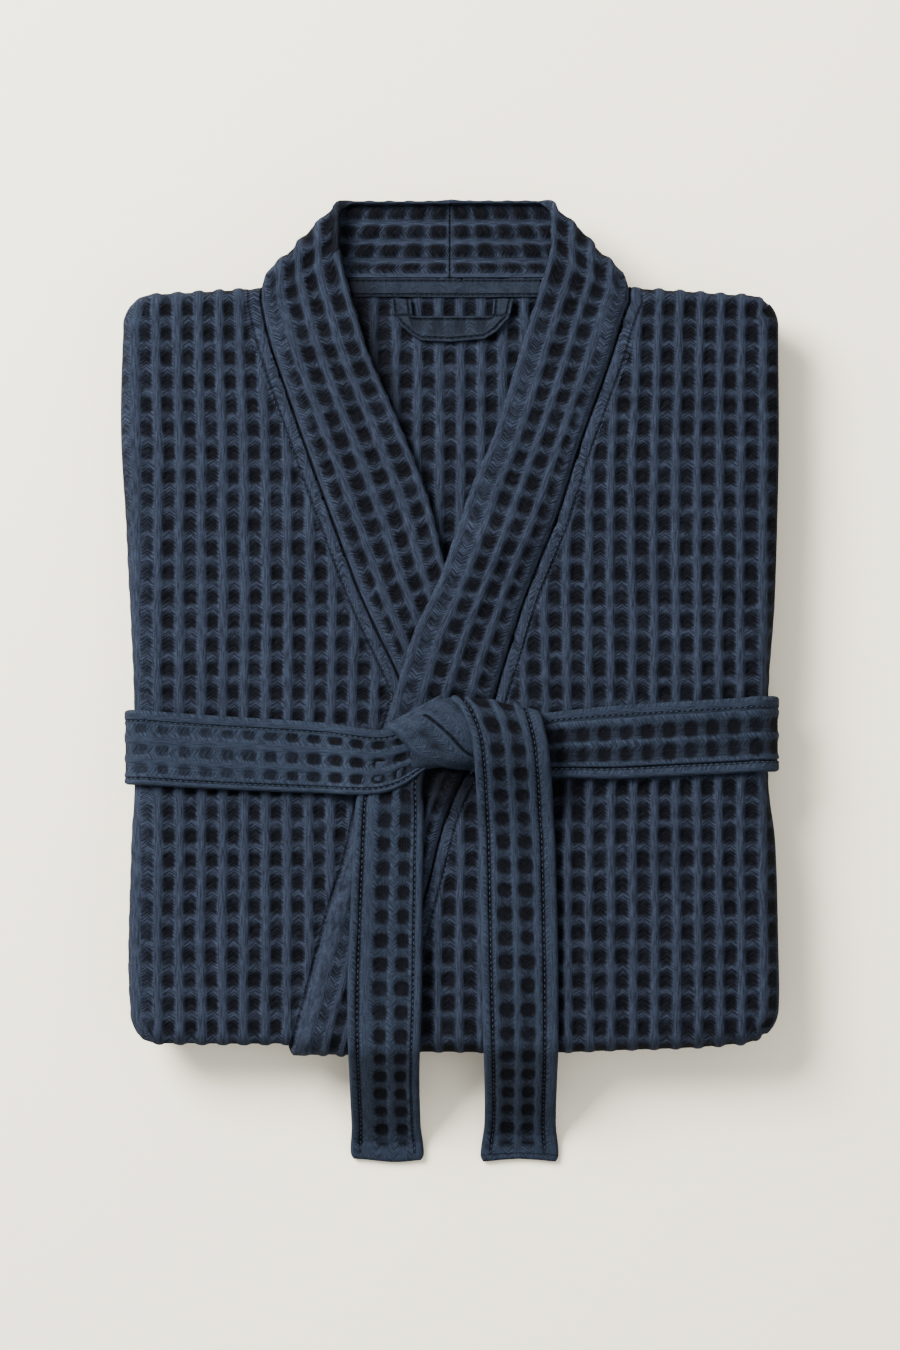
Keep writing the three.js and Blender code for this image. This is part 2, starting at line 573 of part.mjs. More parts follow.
// One half of the band. side is -1 for the right half and 1 for the left one.
function collarHalf(table, side, fold, over, fractions) {
  const first = table[0];
  const outerRadius = NECK_FOLD.inside + COLLAR_CLOTH;
  const arc = NECK_FOLD.inside + COLLAR_CLOTH / 2;
  const foldStart = fold - Math.SQRT2 * outerRadius;
  const foldEnd = foldStart + Math.SQRT2 * Math.PI * arc;
  const centreBack = foldStart + (Math.PI * arc) / Math.SQRT2 - GAP / 2;
  const edgeX = (t) => side * lerp(first.foldX, first.seamX, t);
  // Rows of spread-out points, as functions of the place across: the back of the neck, the turn, the front.
  const rows = [];
  steps(0, 1, NECK_FOLD.backRows).slice(0, -1).forEach((share) => {
    rows.push((t) => ({ x: edgeX(t), y: lerp(centreBack, foldEnd - edgeX(t), share) }));
  });
  [...steps(foldStart, foldEnd, NECK_FOLD.steps)].reverse().forEach((sum) => {
    rows.push((t) => ({ x: edgeX(t), y: sum - edgeX(t) }));
  });
  const turnRows = rows.length;
  fractions.forEach((fraction) => {
    const inside = edgePoint(table, FOLD, fraction);
    const seam = edgePoint(table, SEAM, fraction);
    rows.push((t) => ({ x: side * lerp(inside.x, seam.x, t), y: lerp(inside.y, seam.y, t) }));
  });
  const place = (key) => (i, j) => {
    const line = BAND_LINES[i];
    const { x, y } = rows[j](line.t);
    const lift = GAP + line[key] * COLLAR_CLOTH;
    const past = (x + y - foldStart) / Math.SQRT2;
    if (past > 0) {
      const foot = { x: x - past / Math.SQRT2, y: y - past / Math.SQRT2 };
      const turn = Math.min(past / arc, Math.PI);
      const radius = NECK_FOLD.inside + lift - GAP;
      const out = radius * Math.sin(turn) - Math.max(past - Math.PI * arc, 0);
      const height = pileHeight(side * foot.x, Math.min(foot.y, FLAT_Y.to), over) + GAP - NECK_FOLD.inside;
      return new THREE.Vector3(side * (foot.x + out / Math.SQRT2), foot.y + out / Math.SQRT2,
        height + radius * Math.cos(turn));
    }
    const crossed = smoothstep(y, CROSSING.bottom, CROSSING.low);
    const overUnder = crossed * (1 - smoothstep(y, CROSSING.high, CROSSING.top));
    const overBump = over * overUnder * (1 - smoothstep(line.t, CROSSING.across, 1));
    const band = OVERLAP.extra + CROSSING.extra - overlapAt(y);
    return wrap(side * x, y, lift + overBump * Math.max(band, 0), over, true);
  };
  const pit = (i, j) => {
    const isCell = i > 0 && i < BAND_LINES.length - 2;
    const isFlat = j < NECK_FOLD.backRows - 1 || (j >= turnRows && j - turnRows < BAND_ROWS.left);
    return isCell && isFlat ? PIT : 0;
  };
  const columns = BAND_LINES.length;
  // Mirrored halves run the other way across, so that the faces still point out.
  const flip = (put) => (side < 0 ? (i, j) => put(columns - 1 - i, j) : put);
  const flipPit = side < 0 ? (i, j) => pit(columns - 2 - i, j) : pit;
  return wall(columns, rows.length, reversed(flip(place('under')), rows.length),
    reversed(flip(place('over')), rows.length), (i, j) => flipPit(i, rows.length - 2 - j));
}

// The rows of a grid from the last to the first.
const reversed = (put, count) => (i, j) => put(i, count - 1 - j);

function collarRight() {
  const solid = toSolid(collarHalf(COLLAR_RIGHT, -1, NECK_FOLD.right, 0, steps(0, 1, BAND_ROWS.right)));
  const isHidden = ({ y }) => y < CROSSING.top && y > HIDDEN.bandEnd;
  const hidden = edgeLine(COLLAR_LEFT, FOLD, HIDDEN.band).filter(isHidden);
  const cut = [...hidden, { x: -TRIM.far, y: HIDDEN.bandEnd }, { x: -TRIM.far, y: -TRIM.far },
    { x: TRIM.far, y: -TRIM.far }, { x: TRIM.far, y: hidden[0].y }];
  return solid.subtract(prism(cut, TRIM.low, TRIM.high));
}

function collarLeft() {
  const turn = COLLAR_LEFT_TURN.row / (COLLAR_LEFT.length - 1);
  const fractions = [...steps(0, turn, BAND_ROWS.left), ...steps(turn, 1, COLLAR_LEFT_TURN.rows).slice(1)];
  return toSolid(collarHalf(COLLAR_LEFT, 1, NECK_FOLD.left, 1, fractions));
}

// ---- neck tape and hanger loop ------------------------------------------------------------------

function neckTape() {
  const columns = steps(TAPE.left, TAPE.right, 8);
  const rows = [TAPE.bottom, TAPE.top];
  const place = (lift) => (i, j) => {
    const height = pileHeight(columns[i], rows[j], 0) + lift;
    return new THREE.Vector3(columns[i], rows[j], height);
  };
  return wall(columns.length, rows.length, place(GAP), place(GAP + TAPE_CLOTH));
}

function hangerLoop() {
  const insideLeft = LOOP.left + LOOP.tab;
  const insideRight = LOOP.right - LOOP.tab;
  const outline = [
    { x: LOOP.left, y: LOOP.top },
    ...LOOP_EDGE,
    { x: LOOP.right, y: LOOP.top },
    { x: insideRight, y: LOOP.top },
    { x: insideRight - LOOP.lean, y: LOOP.strapTop },
    { x: insideLeft + LOOP.lean, y: LOOP.strapTop },
    { x: insideLeft, y: LOOP.top },
  ];
  const inset = LOOP.bevel;
  const shape = new THREE.Shape(outline.map(({ x, y }) => new THREE.Vector2(x, y)));
  const geometry = new THREE.ExtrudeGeometry(shape, { depth: LOOP_CLOTH - 2 * inset, bevelSize: inset,
    bevelOffset: -inset, bevelThickness: inset, bevelSegments: 1 });
  const base = pileHeight(0, LOOP.strapTop, 0) + GAP + inset;
  geometry.translate(0, 0, base);
  return geometry;
}

// ---- belt ---------------------------------------------------------------------------------------

// Lines across a strap: its share of the width, and of the belt's thickness there.
const STRAP_LINES = [
  { t: 0, thick: 0.6 },
  { t: 0.05, thick: 1 },
  { t: 0.27, thick: 1 },
  { t: 0.5, thick: 1 },
  { t: 0.73, thick: 1 },
  { t: 0.95, thick: 1 },
  { t: 1, thick: 0.6 },
];

// The Y of a strap's edge line on the top, which it keeps down the side and underneath.
const strapY = (table, x, t) => lerp(read(table, 'x', x, 'bottom'), read(table, 'x', x, 'top'), t);

// The middle of the belt where it lies on the bundle.
function beltHeight(x, y, side) {
  const onFront = 2 * GAP + CLOTH + BELT_CLOTH / 2;
  if (side > 0) return pileHeight(x, y, 1) + onFront;
  const climb = OVERLAP.extra + COLLAR_CLOTH - CLOTH + KNOT_CLIMB.loft;
  return pileHeight(x, y, 0) + onFront + climb * smoothstep(x, KNOT_CLIMB.from, KNOT_CLIMB.to);
}

// One stretch of belt, from the knot over the top of the bundle, down its side and a little way underneath.
function beltStretch(table, side, over) {
  const knotEnd = side < 0 ? table[table.length - 1].x : table[0].x;
  const edge = read(SIDES, 'y', CINCH.y, side < 0 ? 'left' : 'right');
  const roll = rollAt(CINCH.y, over);
  const centreX = edge - side * roll;
  const half = BELT_CLOTH / 2;
  const out = roll + BELT_TURN.out;
  const up = roll + GAP * 2 + CLOTH + half;
  const footZ = BELT_TURN.foot + half;
  const footX = centreX + side * (out - BELT_TURN.foot);
  const turnZ = (y) => pileHeight(edge, y, over) - roll;
  const path = [];
  const cellsOnTop = Math.round(Math.abs(centreX - knotEnd) / CELL.across);
  steps(knotEnd, centreX, cellsOnTop).slice(0, -1).forEach((x) => {
    path.push({ x, atX: x, z: (y) => beltHeight(x, y, side) });
  });
  steps(0, Math.PI / 2, 4).forEach((turn) => {
    const x = centreX + side * out * Math.sin(turn);
    path.push({ x, atX: edge, z: (y) => turnZ(y) + up * Math.cos(turn) });
  });
  path.push({ x: centreX + side * out, atX: edge, z: (y) => (turnZ(y) + footZ) / 2 });
  steps(0, Math.PI / 2, 3).forEach((turn) => {
    const x = footX + side * BELT_TURN.foot * Math.cos(turn);
    path.push({ x, atX: edge, z: () => footZ - BELT_TURN.foot * Math.sin(turn) });
  });
  path.push({ x: side * BELT_TURN.seam, atX: edge, z: () => half });
  const columns = STRAP_LINES.length;
  const middle = (i, j) => {
    const { x, atX, z } = path[j];
    const y = strapY(table, atX, STRAP_LINES[i].t);
    return new THREE.Vector3(x, y, z(y));
  };
  // Seen from above with the knot at its end, a strap's lines run the other way on the right.
  const faceOut = side < 0 ? middle : (i, j) => middle(columns - 1 - i, j);
  const pit = (i, j) => (i > 0 && i < columns - 2 && j < cellsOnTop - 1 ? BELT_PIT : 0);
  return offsetWall(columns, path.length, faceOut, (i) => BELT_CLOTH * STRAP_LINES[i].thick, pit);
}

// The Y of an edge line where the belt goes down each side.
const leftSideY = (t) => strapY(BELT_LEFT, BELT_LEFT[0].x, t);
const rightSideY = (t) => strapY(BELT_RIGHT, BELT_RIGHT[BELT_RIGHT.length - 1].x, t);

function beltUnder() {
  const end = BELT_TURN.seam - GAP;
  const columns = steps(-end, end, 4);
  const edgeY = (x, t) => lerp(leftSideY(t), rightSideY(t), (x + end) / (2 * end));
  const rows = STRAP_LINES.filter((_, i) => i === 0 || i === STRAP_LINES.length - 1);
  const place = (z) => (i, j) => new THREE.Vector3(columns[i], edgeY(columns[i], rows[j].t), z);
  return wall(columns.length, rows.length, place(0), place(BELT_CLOTH));
}

// The room that the belt takes under the pile.
function beltGroove() {
  const left = { top: leftSideY(1) + BELT_ROOM.aside, bottom: leftSideY(0) - BELT_ROOM.aside };
  const right = { top: rightSideY(1) + BELT_ROOM.aside, bottom: rightSideY(0) - BELT_ROOM.aside };
  const outline = [
    { x: -TRIM.far, y: left.bottom },
    { x: -BELT_TURN.seam, y: left.bottom },
    { x: BELT_TURN.seam, y: right.bottom },
    { x: TRIM.far, y: right.bottom },
    { x: TRIM.far, y: right.top },
    { x: BELT_TURN.seam, y: right.top },
    { x: -BELT_TURN.seam, y: left.top },
    { x: -TRIM.far, y: left.top },
  ];
  return prism(outline, TRIM.low, BELT_CLOTH + BELT_ROOM.above);
}

// The knot: rounded sections from left to right, each flat where it lies on the cloth.
function beltKnot() {
  const build = new MeshBuilder();
  const { sides, flat, capHigh } = KNOT_SECTION;
  const rings = KNOT.map((row) => Array.from({ length: sides }, (_, k) => {
    const turn = (2 * Math.PI * k) / sides;
    const y = row.y + (row.wide / 2) * Math.cos(turn);
    const up = (Math.max(Math.sin(turn), -flat) + flat) / (1 + flat);
    return build.point(new THREE.Vector3(row.x, y, row.base + up * row.high));
  }));
  for (let s = 0; s < rings.length - 1; s += 1) {
    for (let k = 0; k < sides; k += 1) {
      const n = (k + 1) % sides;
      build.quad(rings[s][k], rings[s][n], rings[s + 1][n], rings[s + 1][k]);
    }
  }
  const cap = (ring, row, outwards) => {
    const centre = build.point(new THREE.Vector3(row.x, row.y, row.base + row.high * capHigh));
    ring.forEach((_, k) => {
      const n = (k + 1) % sides;
      build.faces.push(centre, ...(outwards ? [ring[k], ring[n]] : [ring[n], ring[k]]));
    });
  };
  cap(rings[0], KNOT[0], false);
  cap(rings[rings.length - 1], KNOT[KNOT.length - 1], true);
  return build.geometry();
}

// A tail: along the cloth it lies on, round the hem fold and down a slope to the floor.
function beltTail(table, support) {
  const half = BELT_CLOTH / 2;
  const first = table[0].y;
  const middleX = (y) => (read(table, 'y', y, 'left') + read(table, 'y', y, 'right')) / 2;
  const hemX = middleX(HEM[1].over);
  const hemY = read(HEM, 'x', hemX, 'over') + PILE.roll;
  const hemZ = pileHeight(hemX, hemY, 1) - PILE.roll;
  const radius = PILE.roll + support + GAP + half + TAIL_DROP.clear;
  const steepest = Math.atan(TAIL_DROP.slope);
  const path = [];
  const restZ = (y) => pileHeight(middleX(y), y, 1) + support + GAP + half + read(table, 'y', y, 'rise');
  const flatCount = Math.round((first - hemY) / CELL.along);
  table.filter(({ y, rise }) => rise > 1 && y > hemY).forEach(({ y }) => path.push({ y, z: restZ(y) }));
  const flatFrom = path.length ? table.find(({ rise }) => rise <= 1).y : first;
  steps(flatFrom, hemY, Math.round((flatCount * (flatFrom - hemY)) / (first - hemY))).slice(0, -1)
    .forEach((y) => path.push({ y, z: restZ(y) }));
  steps(0, steepest, 2).forEach((turn) => {
    path.push({ y: hemY - radius * Math.sin(turn), z: hemZ + radius * Math.cos(turn) });
  });
  const brink = path[path.length - 1];
  const footZ = TAIL_DROP.aboveFloor + half;
  const footY = brink.y - (brink.z - footZ) / TAIL_DROP.slope;
  TAIL_DROP.rows.forEach((share) => {
    path.push({ y: lerp(brink.y, footY, share), z: lerp(brink.z, footZ, share) });
  });
  path.push({ y: footY - TAIL_DROP.ease, z: footZ }, { y: TAIL_DROP.end, z: footZ });
  const columns = STRAP_LINES.length;
  const middle = (i, j) => {
    const { y, z } = path[j];
    const x = lerp(read(table, 'y', y, 'left'), read(table, 'y', y, 'right'), STRAP_LINES[i].t);
    const onPile = clamp(y, hemY, first);
    const tilt = y > hemY ? pileHeight(x, onPile, 1) - pileHeight(middleX(onPile), onPile, 1) : 0;
    return new THREE.Vector3(x, y, z + tilt);
  };
  const rows = path.length;
  const pit = (i, j) => (i > 1 && i < columns - 3 && j > 0 && j < rows - 2 ? BELT_PIT : 0);
  return offsetWall(columns, rows, reversed(middle, rows), (i) => BELT_CLOTH * STRAP_LINES[i].thick,
    (i, j) => pit(i, rows - 2 - j));
}

// ---- the part -----------------------------------------------------------------------------------

const group = new THREE.Group();
function add(name, shape, finish = NAVY) {
  const geometry = shape instanceof wasm.Manifold ? fromSolid(shape) : shape;
  const mesh = new THREE.Mesh(geometry, new THREE.MeshStandardMaterial(finish));
  mesh.name = name;
  group.add(mesh);
}

add('folded_layers', foldedLayers(), NAVY_DEEP);
add('front_right', frontRight());
add('front_left', frontLeft());
add('back', backSolid(0, -CLOTH, 0), NAVY_DEEP);
add('collar_right', collarRight());
add('collar_left', collarLeft());
add('neck_tape', neckTape());
add('hanger_loop', hangerLoop());
add('belt_left', beltStretch(BELT_LEFT, -1, 0));
add('belt_right', beltStretch(BELT_RIGHT, 1, 1));
add('belt_under', beltUnder());
add('belt_knot', beltKnot());
add('belt_tail_left', beltTail(TAIL_LEFT, GAP + COLLAR_CLOTH));
add('belt_tail_right', beltTail(TAIL_RIGHT, GAP + CLOTH));

export default group;
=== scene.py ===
"""Cloth of a folded waffle-weave kimono bathrobe, built round its CAD frame.

Lengths are in millimetres until a mesh is written, which is in metres. +X is to the right as one looks down
on the robe, +Y runs from the hem fold to the collar and +Z is up. Left and right in the names of panels and
bands are the wearer's.
"""

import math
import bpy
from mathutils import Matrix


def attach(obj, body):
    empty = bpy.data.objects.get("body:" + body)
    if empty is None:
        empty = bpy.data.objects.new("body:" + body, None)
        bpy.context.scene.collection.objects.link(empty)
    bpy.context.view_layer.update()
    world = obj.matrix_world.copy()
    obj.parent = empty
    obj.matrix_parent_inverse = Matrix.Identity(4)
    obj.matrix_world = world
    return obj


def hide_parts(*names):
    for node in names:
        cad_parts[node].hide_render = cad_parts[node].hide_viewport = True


bl_info = {
    "name": "Folded Waffle Robe",
    "version": (1, 0, 0),
    "blender": (4, 5, 0),
    "location": "3D View > Sidebar > Robe",
    "description": "Builds the cloth of a folded waffle-weave kimono bathrobe round its CAD frame",
    "category": "Add Mesh",
}

import bmesh
import bpy
import numpy as np
from mathutils import Matrix, Vector

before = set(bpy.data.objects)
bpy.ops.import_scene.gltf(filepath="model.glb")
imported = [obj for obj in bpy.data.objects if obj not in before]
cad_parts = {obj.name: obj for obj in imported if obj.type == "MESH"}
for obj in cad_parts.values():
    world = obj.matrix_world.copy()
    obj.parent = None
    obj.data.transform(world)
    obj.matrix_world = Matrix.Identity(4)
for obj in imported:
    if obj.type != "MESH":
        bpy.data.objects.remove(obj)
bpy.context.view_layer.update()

MM = 0.001
FAR = 300.0

# ---- sizes of the cloth and of the folded pile ----

GAP = 0.3
CLOTH = 3.0
COLLAR_CLOTH = 5.6
BELT_CLOTH = 3.6
TAPE_CLOTH = 1.2
LOOP_CLOTH = 3.0
CELL_ACROSS, CELL_ALONG = 12.0, 13.3
WEAVE_X, WEAVE_Y = -162.0, -186.0

PILE_HEIGHT, PILE_CROWN, CROWN_X, CROWN_Y = 33.0, 2.0, 190.0, 230.0
ROLL, CORNER, NECK, FOLD_DEPTH = 4.5, 9.0, 2.5, 6.5
CINCH_Y, CINCH_DEPTH, CINCH_REACH = -36.0, 1.5, 40.0
OVERLAP_EXTRA, OVERLAP_FULL, OVERLAP_NONE = 3.3, 10.0, 60.0
FLAT_TOP_Y = 199.3


def table(columns, *rows):
    """A short table: one array for each named column."""
    return dict(zip(columns.split(), np.array(rows, float).T))


SIDES = table(
    "y left right",
    (-200, -173.5, 178.5),
    (-176, -175.4, 180),
    (-148, -176.1, 179.5),
    (-90, -174.6, 177.8),
    (-62, -172.4, 174.8),
    (-37, -172.4, 174.3),
    (5, -173.6, 175.2),
    (45, -175.6, 177.8),
    (90, -177.6, 179),
    (140, -180, 179.8),
    (206, -178.5, 179.5),
)
SHOULDERS = table("x y", (0, 223.2), (182, 211.6))
HEM = table(
    "x under over",
    (-176, -198.6, -201),
    (-95, -199.3, -202.4),
    (0, -199.5, -203.3),
    (61, -199.5, -203.4),
    (128, -198.5, -201.3),
    (178, -197, -198),
)
COLLAR_RIGHT = table(
    "fold_x fold_y seam_x seam_y",
    (-60.5, 240, -105, 211),
    (-54.8, 217, -104, 205),
    (-49.5, 200, -101, 192),
    (-44.4, 183, -96, 176),
    (-25.6, 139.9, -79, 127),
    (-11.1, 102.6, -63.5, 84.5),
    (-2.2, 67.6, -48, 44),
    (8, 32, -29.4, 4.9),
    (16, 8, -19, -18),
)
COLLAR_LEFT = table(
    "fold_x fold_y seam_x seam_y",
    (55.3, 240, 99.9, 211),
    (48.5, 217, 97.3, 205),
    (43.3, 200, 93.5, 193.5),
    (38.9, 185.4, 88.5, 177),
    (23.9, 137.6, 72, 131),
    (11.1, 107.6, 60, 93),
    (-6.1, 58.2, 42.5, 48.5),
    (-21.1, 26, 30.5, 11),
    (-35.6, -21.3, 18, -30),
    (-50.6, -64.6, -1.5, -73),
    (-58.3, -97.9, -11, -108),
    (-67.8, -128.5, -20, -140),
    (-78.9, -170.7, -31, -178),
    (-84.9, -192.5, -36.3, -194.5),
    (-87.8, -204, -39, -204.5),
    (-90.6, -215.5, -41.5, -215.5),
)
NECK_FOLD_RIGHT, NECK_FOLD_LEFT, NECK_INSIDE = 330.0, 325.0, 0.8
CROSSING_TOP, CROSSING_HIGH, CROSSING_LOW, CROSSING_BOTTOM = 100.0, 72.0, 2.0, -13.0

BELT_LEFT = table(
    "x top bottom",
    (-172, -15.7, -57.4),
    (-134, -18.5, -59.6),
    (-67, -22.9, -62.2),
    (-40, -26.6, -62.2),
    (-26, -24.5, -57.5),
    (-9, -24, -45),
)
BELT_RIGHT = table(
    "x top bottom",
    (44, -18.5, -53.4),
    (61, -16.3, -53.2),
    (89, -13.4, -54),
    (126, -11, -52.4),
    (175, -8, -50.1),
)
BELT_OUT, BELT_FOOT, BELT_SEAM, UNDERSIDE = 7.1, 6.0, 140.0, 0.75
CLIMB_FROM, CLIMB_TO, CLIMB_LOFT = -74.0, -54.0, 1.8
TAIL_LEFT = table(
    "y left right rise",
    (-44, -46, -12, 1.5),
    (-54, -49.6, -14.6, 0.6),
    (-63, -51.4, -15, 0.2),
    (-72, -52.6, -14.4, 0.2),
    (-126, -55.2, -15, 0.2),
    (-177, -57, -15.6, 0.2),
    (-222, -56, -17, 0),
    (-271, -54.6, -15.6, 0),
)
TAIL_RIGHT = table(
    "y left right rise",
    (-9.3, 0.5, 50, 3),
    (-9.9, 0.6, 50.4, 8.5),
    (-16, 6, 51.6, 13.4),
    (-30, 11.6, 54, 15.4),
    (-44, 13.4, 55.4, 13.8),
    (-58, 14.4, 56.6, 7.5),
    (-76, 15.4, 57.6, 1.6),
    (-92, 16, 58.6, 0.2),
    (-150, 17, 60, 0.2),
    (-198, 18.4, 60.2, 0.2),
    (-240, 19.4, 59.4, 0),
    (-271, 18, 60, 0),
)
TAIL_SLOPE, TAIL_END, TAIL_FLOOR, END_STITCH = 0.78, -268.8, 0.2, 4.0


# ---- reading tables, smoothing and noise ----


def smooth(x, low, high):
    t = np.clip((x - low) / (high - low), 0, 1)
    return t * t * (3 - 2 * t)


def lerp(a, b, t):
    return a + (b - a) * t


def bell(distance, width, power=2):
    """1 at no distance, falling off evenly on both sides."""
    return np.exp(-((distance / width) ** power))


def read(rows, key, at, column):
    """A smooth reading of one column of a table at values of its key column."""
    order = np.argsort(rows[key])
    keys, values = rows[key][order], rows[column][order]
    index = np.arange(len(keys))
    low, high = np.maximum(index - 1, 0), np.minimum(index + 1, len(keys) - 1)
    slopes = (values[high] - values[low]) / (keys[high] - keys[low])
    place = np.clip(at, keys[0], keys[-1])
    i = np.clip(np.searchsorted(keys, place) - 1, 0, len(keys) - 2)
    span = keys[i + 1] - keys[i]
    t = (place - keys[i]) / span
    start = values[i] * (1 + t * t * (2 * t - 3)) + values[i + 1] * t * t * (3 - 2 * t)
    return start + span * t * (1 - t) * (slopes[i] * (1 - t) - slopes[i + 1] * t)


def read_share(rows, share, column):
    """The same reading by a share of the way through the table's rows."""
    count = len(rows[column])
    return read({"index": np.arange(count), **rows}, "index", share * (count - 1), column)


def read_row(rows, share):
    """Every column of a table at a share of the way through its rows."""
    return (read_share(rows, share, column) for column in rows)


def chance(i, j, seed):
    """An even spread of numbers from -1 to 1, one for each pair of whole numbers."""
    n = np.sin(i * 127.1 + j * 311.7 + seed * 74.7) * 43758.5453
    return 2 * (n - np.floor(n)) - 1


def noise(x, y, seed):
    """Smooth noise from -1 to 1, about one bump to a unit."""
    i, j = np.floor(x), np.floor(y)
    s, t = smooth(x - i, 0, 1), smooth(y - j, 0, 1)
    low = lerp(chance(i, j, seed), chance(i + 1, j, seed), s)
    high = lerp(chance(i, j + 1, seed), chance(i + 1, j + 1, seed), s)
    return lerp(low, high, t)


# ---- the pile and what wraps it ----


def overlap_at(y):
    return OVERLAP_EXTRA * (1 - smooth(y, OVERLAP_FULL, OVERLAP_NONE))


def roll_at(y, over):
    return ROLL + over * overlap_at(y)


def bend_at(y, over):
    return roll_at(y, over) + GAP + CLOTH / 2


def roll_starts(x, y, over):
    """Where the flat top ends and the fold rolls begin: left, right, top and bottom."""
    roll = roll_at(y, over)
    left = read(SIDES, "y", y, "left") + roll
    right = read(SIDES, "y", y, "right") - roll
    top = read(SHOULDERS, "x", np.abs(x), "y") - ROLL
    bottom = lerp(read(HEM, "x", x, "under"), read(HEM, "x", x, "over"), over) + roll
    return left, right, top, bottom


def pile_height(x, y, over):
    crown = PILE_CROWN * (1 - (x / CROWN_X) ** 2) * (1 - (y / CROWN_Y) ** 2)
    cinch = CINCH_DEPTH * bell(y - CINCH_Y, CINCH_REACH)
    return PILE_HEIGHT + np.maximum(crown, 0) - cinch + over * overlap_at(y)


def edge_foot(x, y, over, past_shoulders=False):
    """Where the spread-out cloth leaves the flat top, the way out from there and how far past it is."""
    _, _, top, bottom = roll_starts(x, y, over)
    corner_y = np.clip(y, bottom + CORNER, FAR if past_shoulders else top - CORNER)
    left, right, _, _ = roll_starts(x, corner_y, over)
    corner_x = np.clip(x, left + CORNER, right - CORNER)
    away_x, away_y = x - corner_x, y - corner_y
    reach = np.maximum(np.abs(away_x), np.abs(away_y))
    length = np.maximum(np.hypot(away_x, away_y), 1e-9)
    away_x, away_y = away_x / length, away_y / length
    flat = np.minimum(reach, CORNER)
    return corner_x + away_x * flat, corner_y + away_y * flat, away_x, away_y, reach - CORNER


def wrap(x, y, lift, over, past_shoulders=False):
    """Where points of the spread-out cloth lie once it is turned over the edges of the pile."""
    foot_x, foot_y, away_x, away_y, past = edge_foot(x, y, over, past_shoulders)
    height = pile_height(foot_x, np.minimum(foot_y, FLAT_TOP_Y), over)
    roll, bend = roll_at(foot_y, over), bend_at(foot_y, over)
    turn = np.clip(past / bend, 0, np.pi)
    out = (roll + lift) * np.sin(turn) - np.maximum(past - np.pi * bend, 0)
    z = height - roll + (roll + lift) * np.cos(turn)
    return np.stack([foot_x + away_x * out, foot_y + away_y * out, z], axis=-1)


# ---- the weave ----

# Grid lines in one cell, from ridge to ridge, close together on the cell's walls.
ACROSS_LINES = np.array([0, 0.1, 0.18, 0.26, 0.36, 0.64, 0.76, 0.88])
ALONG_LINES = np.array([0, 0.13, 0.22, 0.32, 0.52, 0.72, 0.83, 0.93])
FEW_LINES = np.array([0, 0.16, 0.26, 0.5, 0.74, 0.84])
# A cell's half width and half length in cells, how much they vary, and the slope of its gentle walls.
HALF_ACROSS, HALF_ALONG, UNEVEN, GENTLE = 0.30, 0.335, 0.08, 0.92
RIDGE_RISE = 0.3


def cell_lines(first, last, lines=ALONG_LINES):
    """Grid lines through the cells from one number to another."""
    return np.append((np.arange(first, last)[:, None] + lines).ravel(), last)


def lines_to(count):
    """Grid lines from the first cell to a count that need not be whole."""
    return np.minimum(cell_lines(0, math.ceil(count)), count)


def waffle(u, v, seed, wide=1.0):
    """Height of the weave at a place counted in cells: 0 on a cell's floor, 1 on the ridges. The cells
    lean: their walls are steeper to the right and below than to the left and above."""
    i, j = np.floor(u), np.floor(v)
    half_u = HALF_ACROSS * wide * (1 + UNEVEN * chance(i, j, seed))
    half_v = HALF_ALONG * wide * (1 + UNEVEN * chance(i, j, seed + 1))
    a, b = (u - i - 0.5) / half_u, (v - j - 0.5) / half_v
    a, b = np.where(a > 0, 1.22 * a, -GENTLE * a), np.where(b < 0, -1.18 * b, GENTLE * b)
    rim = (a**4 + b**4) ** 0.25
    deep = 0.86 + 0.14 * chance(i, j, seed + 3)
    sag = 0.24 * (1 - smooth(a, 0.7, 1.25))
    crown = 0.16 * np.clip(1 - np.abs(u - np.rint(u)) / 0.22, 0, 1)
    return (1 - deep * (1 - smooth(rim, 0.55, 1.25))) * (0.84 - sag + crown)


def painted_shade(x, y):
    """Share of the weave's colour height that is kept under painted shade: painted shadow below the knot between
    the tails, in the corner between the right tail and the belt, and along the neck's right side under the band."""
    # Each painted shadow has a strength, a middle or an edge in X with its reach, and the Y from which it grows
    # to its full strength.
    shadow_below_knot = 0.8 * bell(x + 3, 23, 4) * smooth(y, -88, -56) * (y < -30)
    shadow_in_tail_corner = 0.5 * bell(x - 62, 13) * smooth(y, -92, -60) * (y < -40)
    past_seam = np.maximum(x + 60 - 0.3 * (225 - y), 0)
    shadow_beside_neck = 0.75 * bell(past_seam, 15) * smooth(y, 60, 175) * (x > -66)
    return (1 - shadow_below_knot) * (1 - shadow_in_tail_corner) * (1 - shadow_beside_neck)


# ---- meshes ----


def write_attribute(mesh, name, values):
    attribute = mesh.attributes.new(name, "FLOAT_VECTOR", "POINT")
    values = np.broadcast_to(values, (len(mesh.vertices), 3))
    attribute.data.foreach_set("vector", np.ascontiguousarray(values, np.float32).ravel())


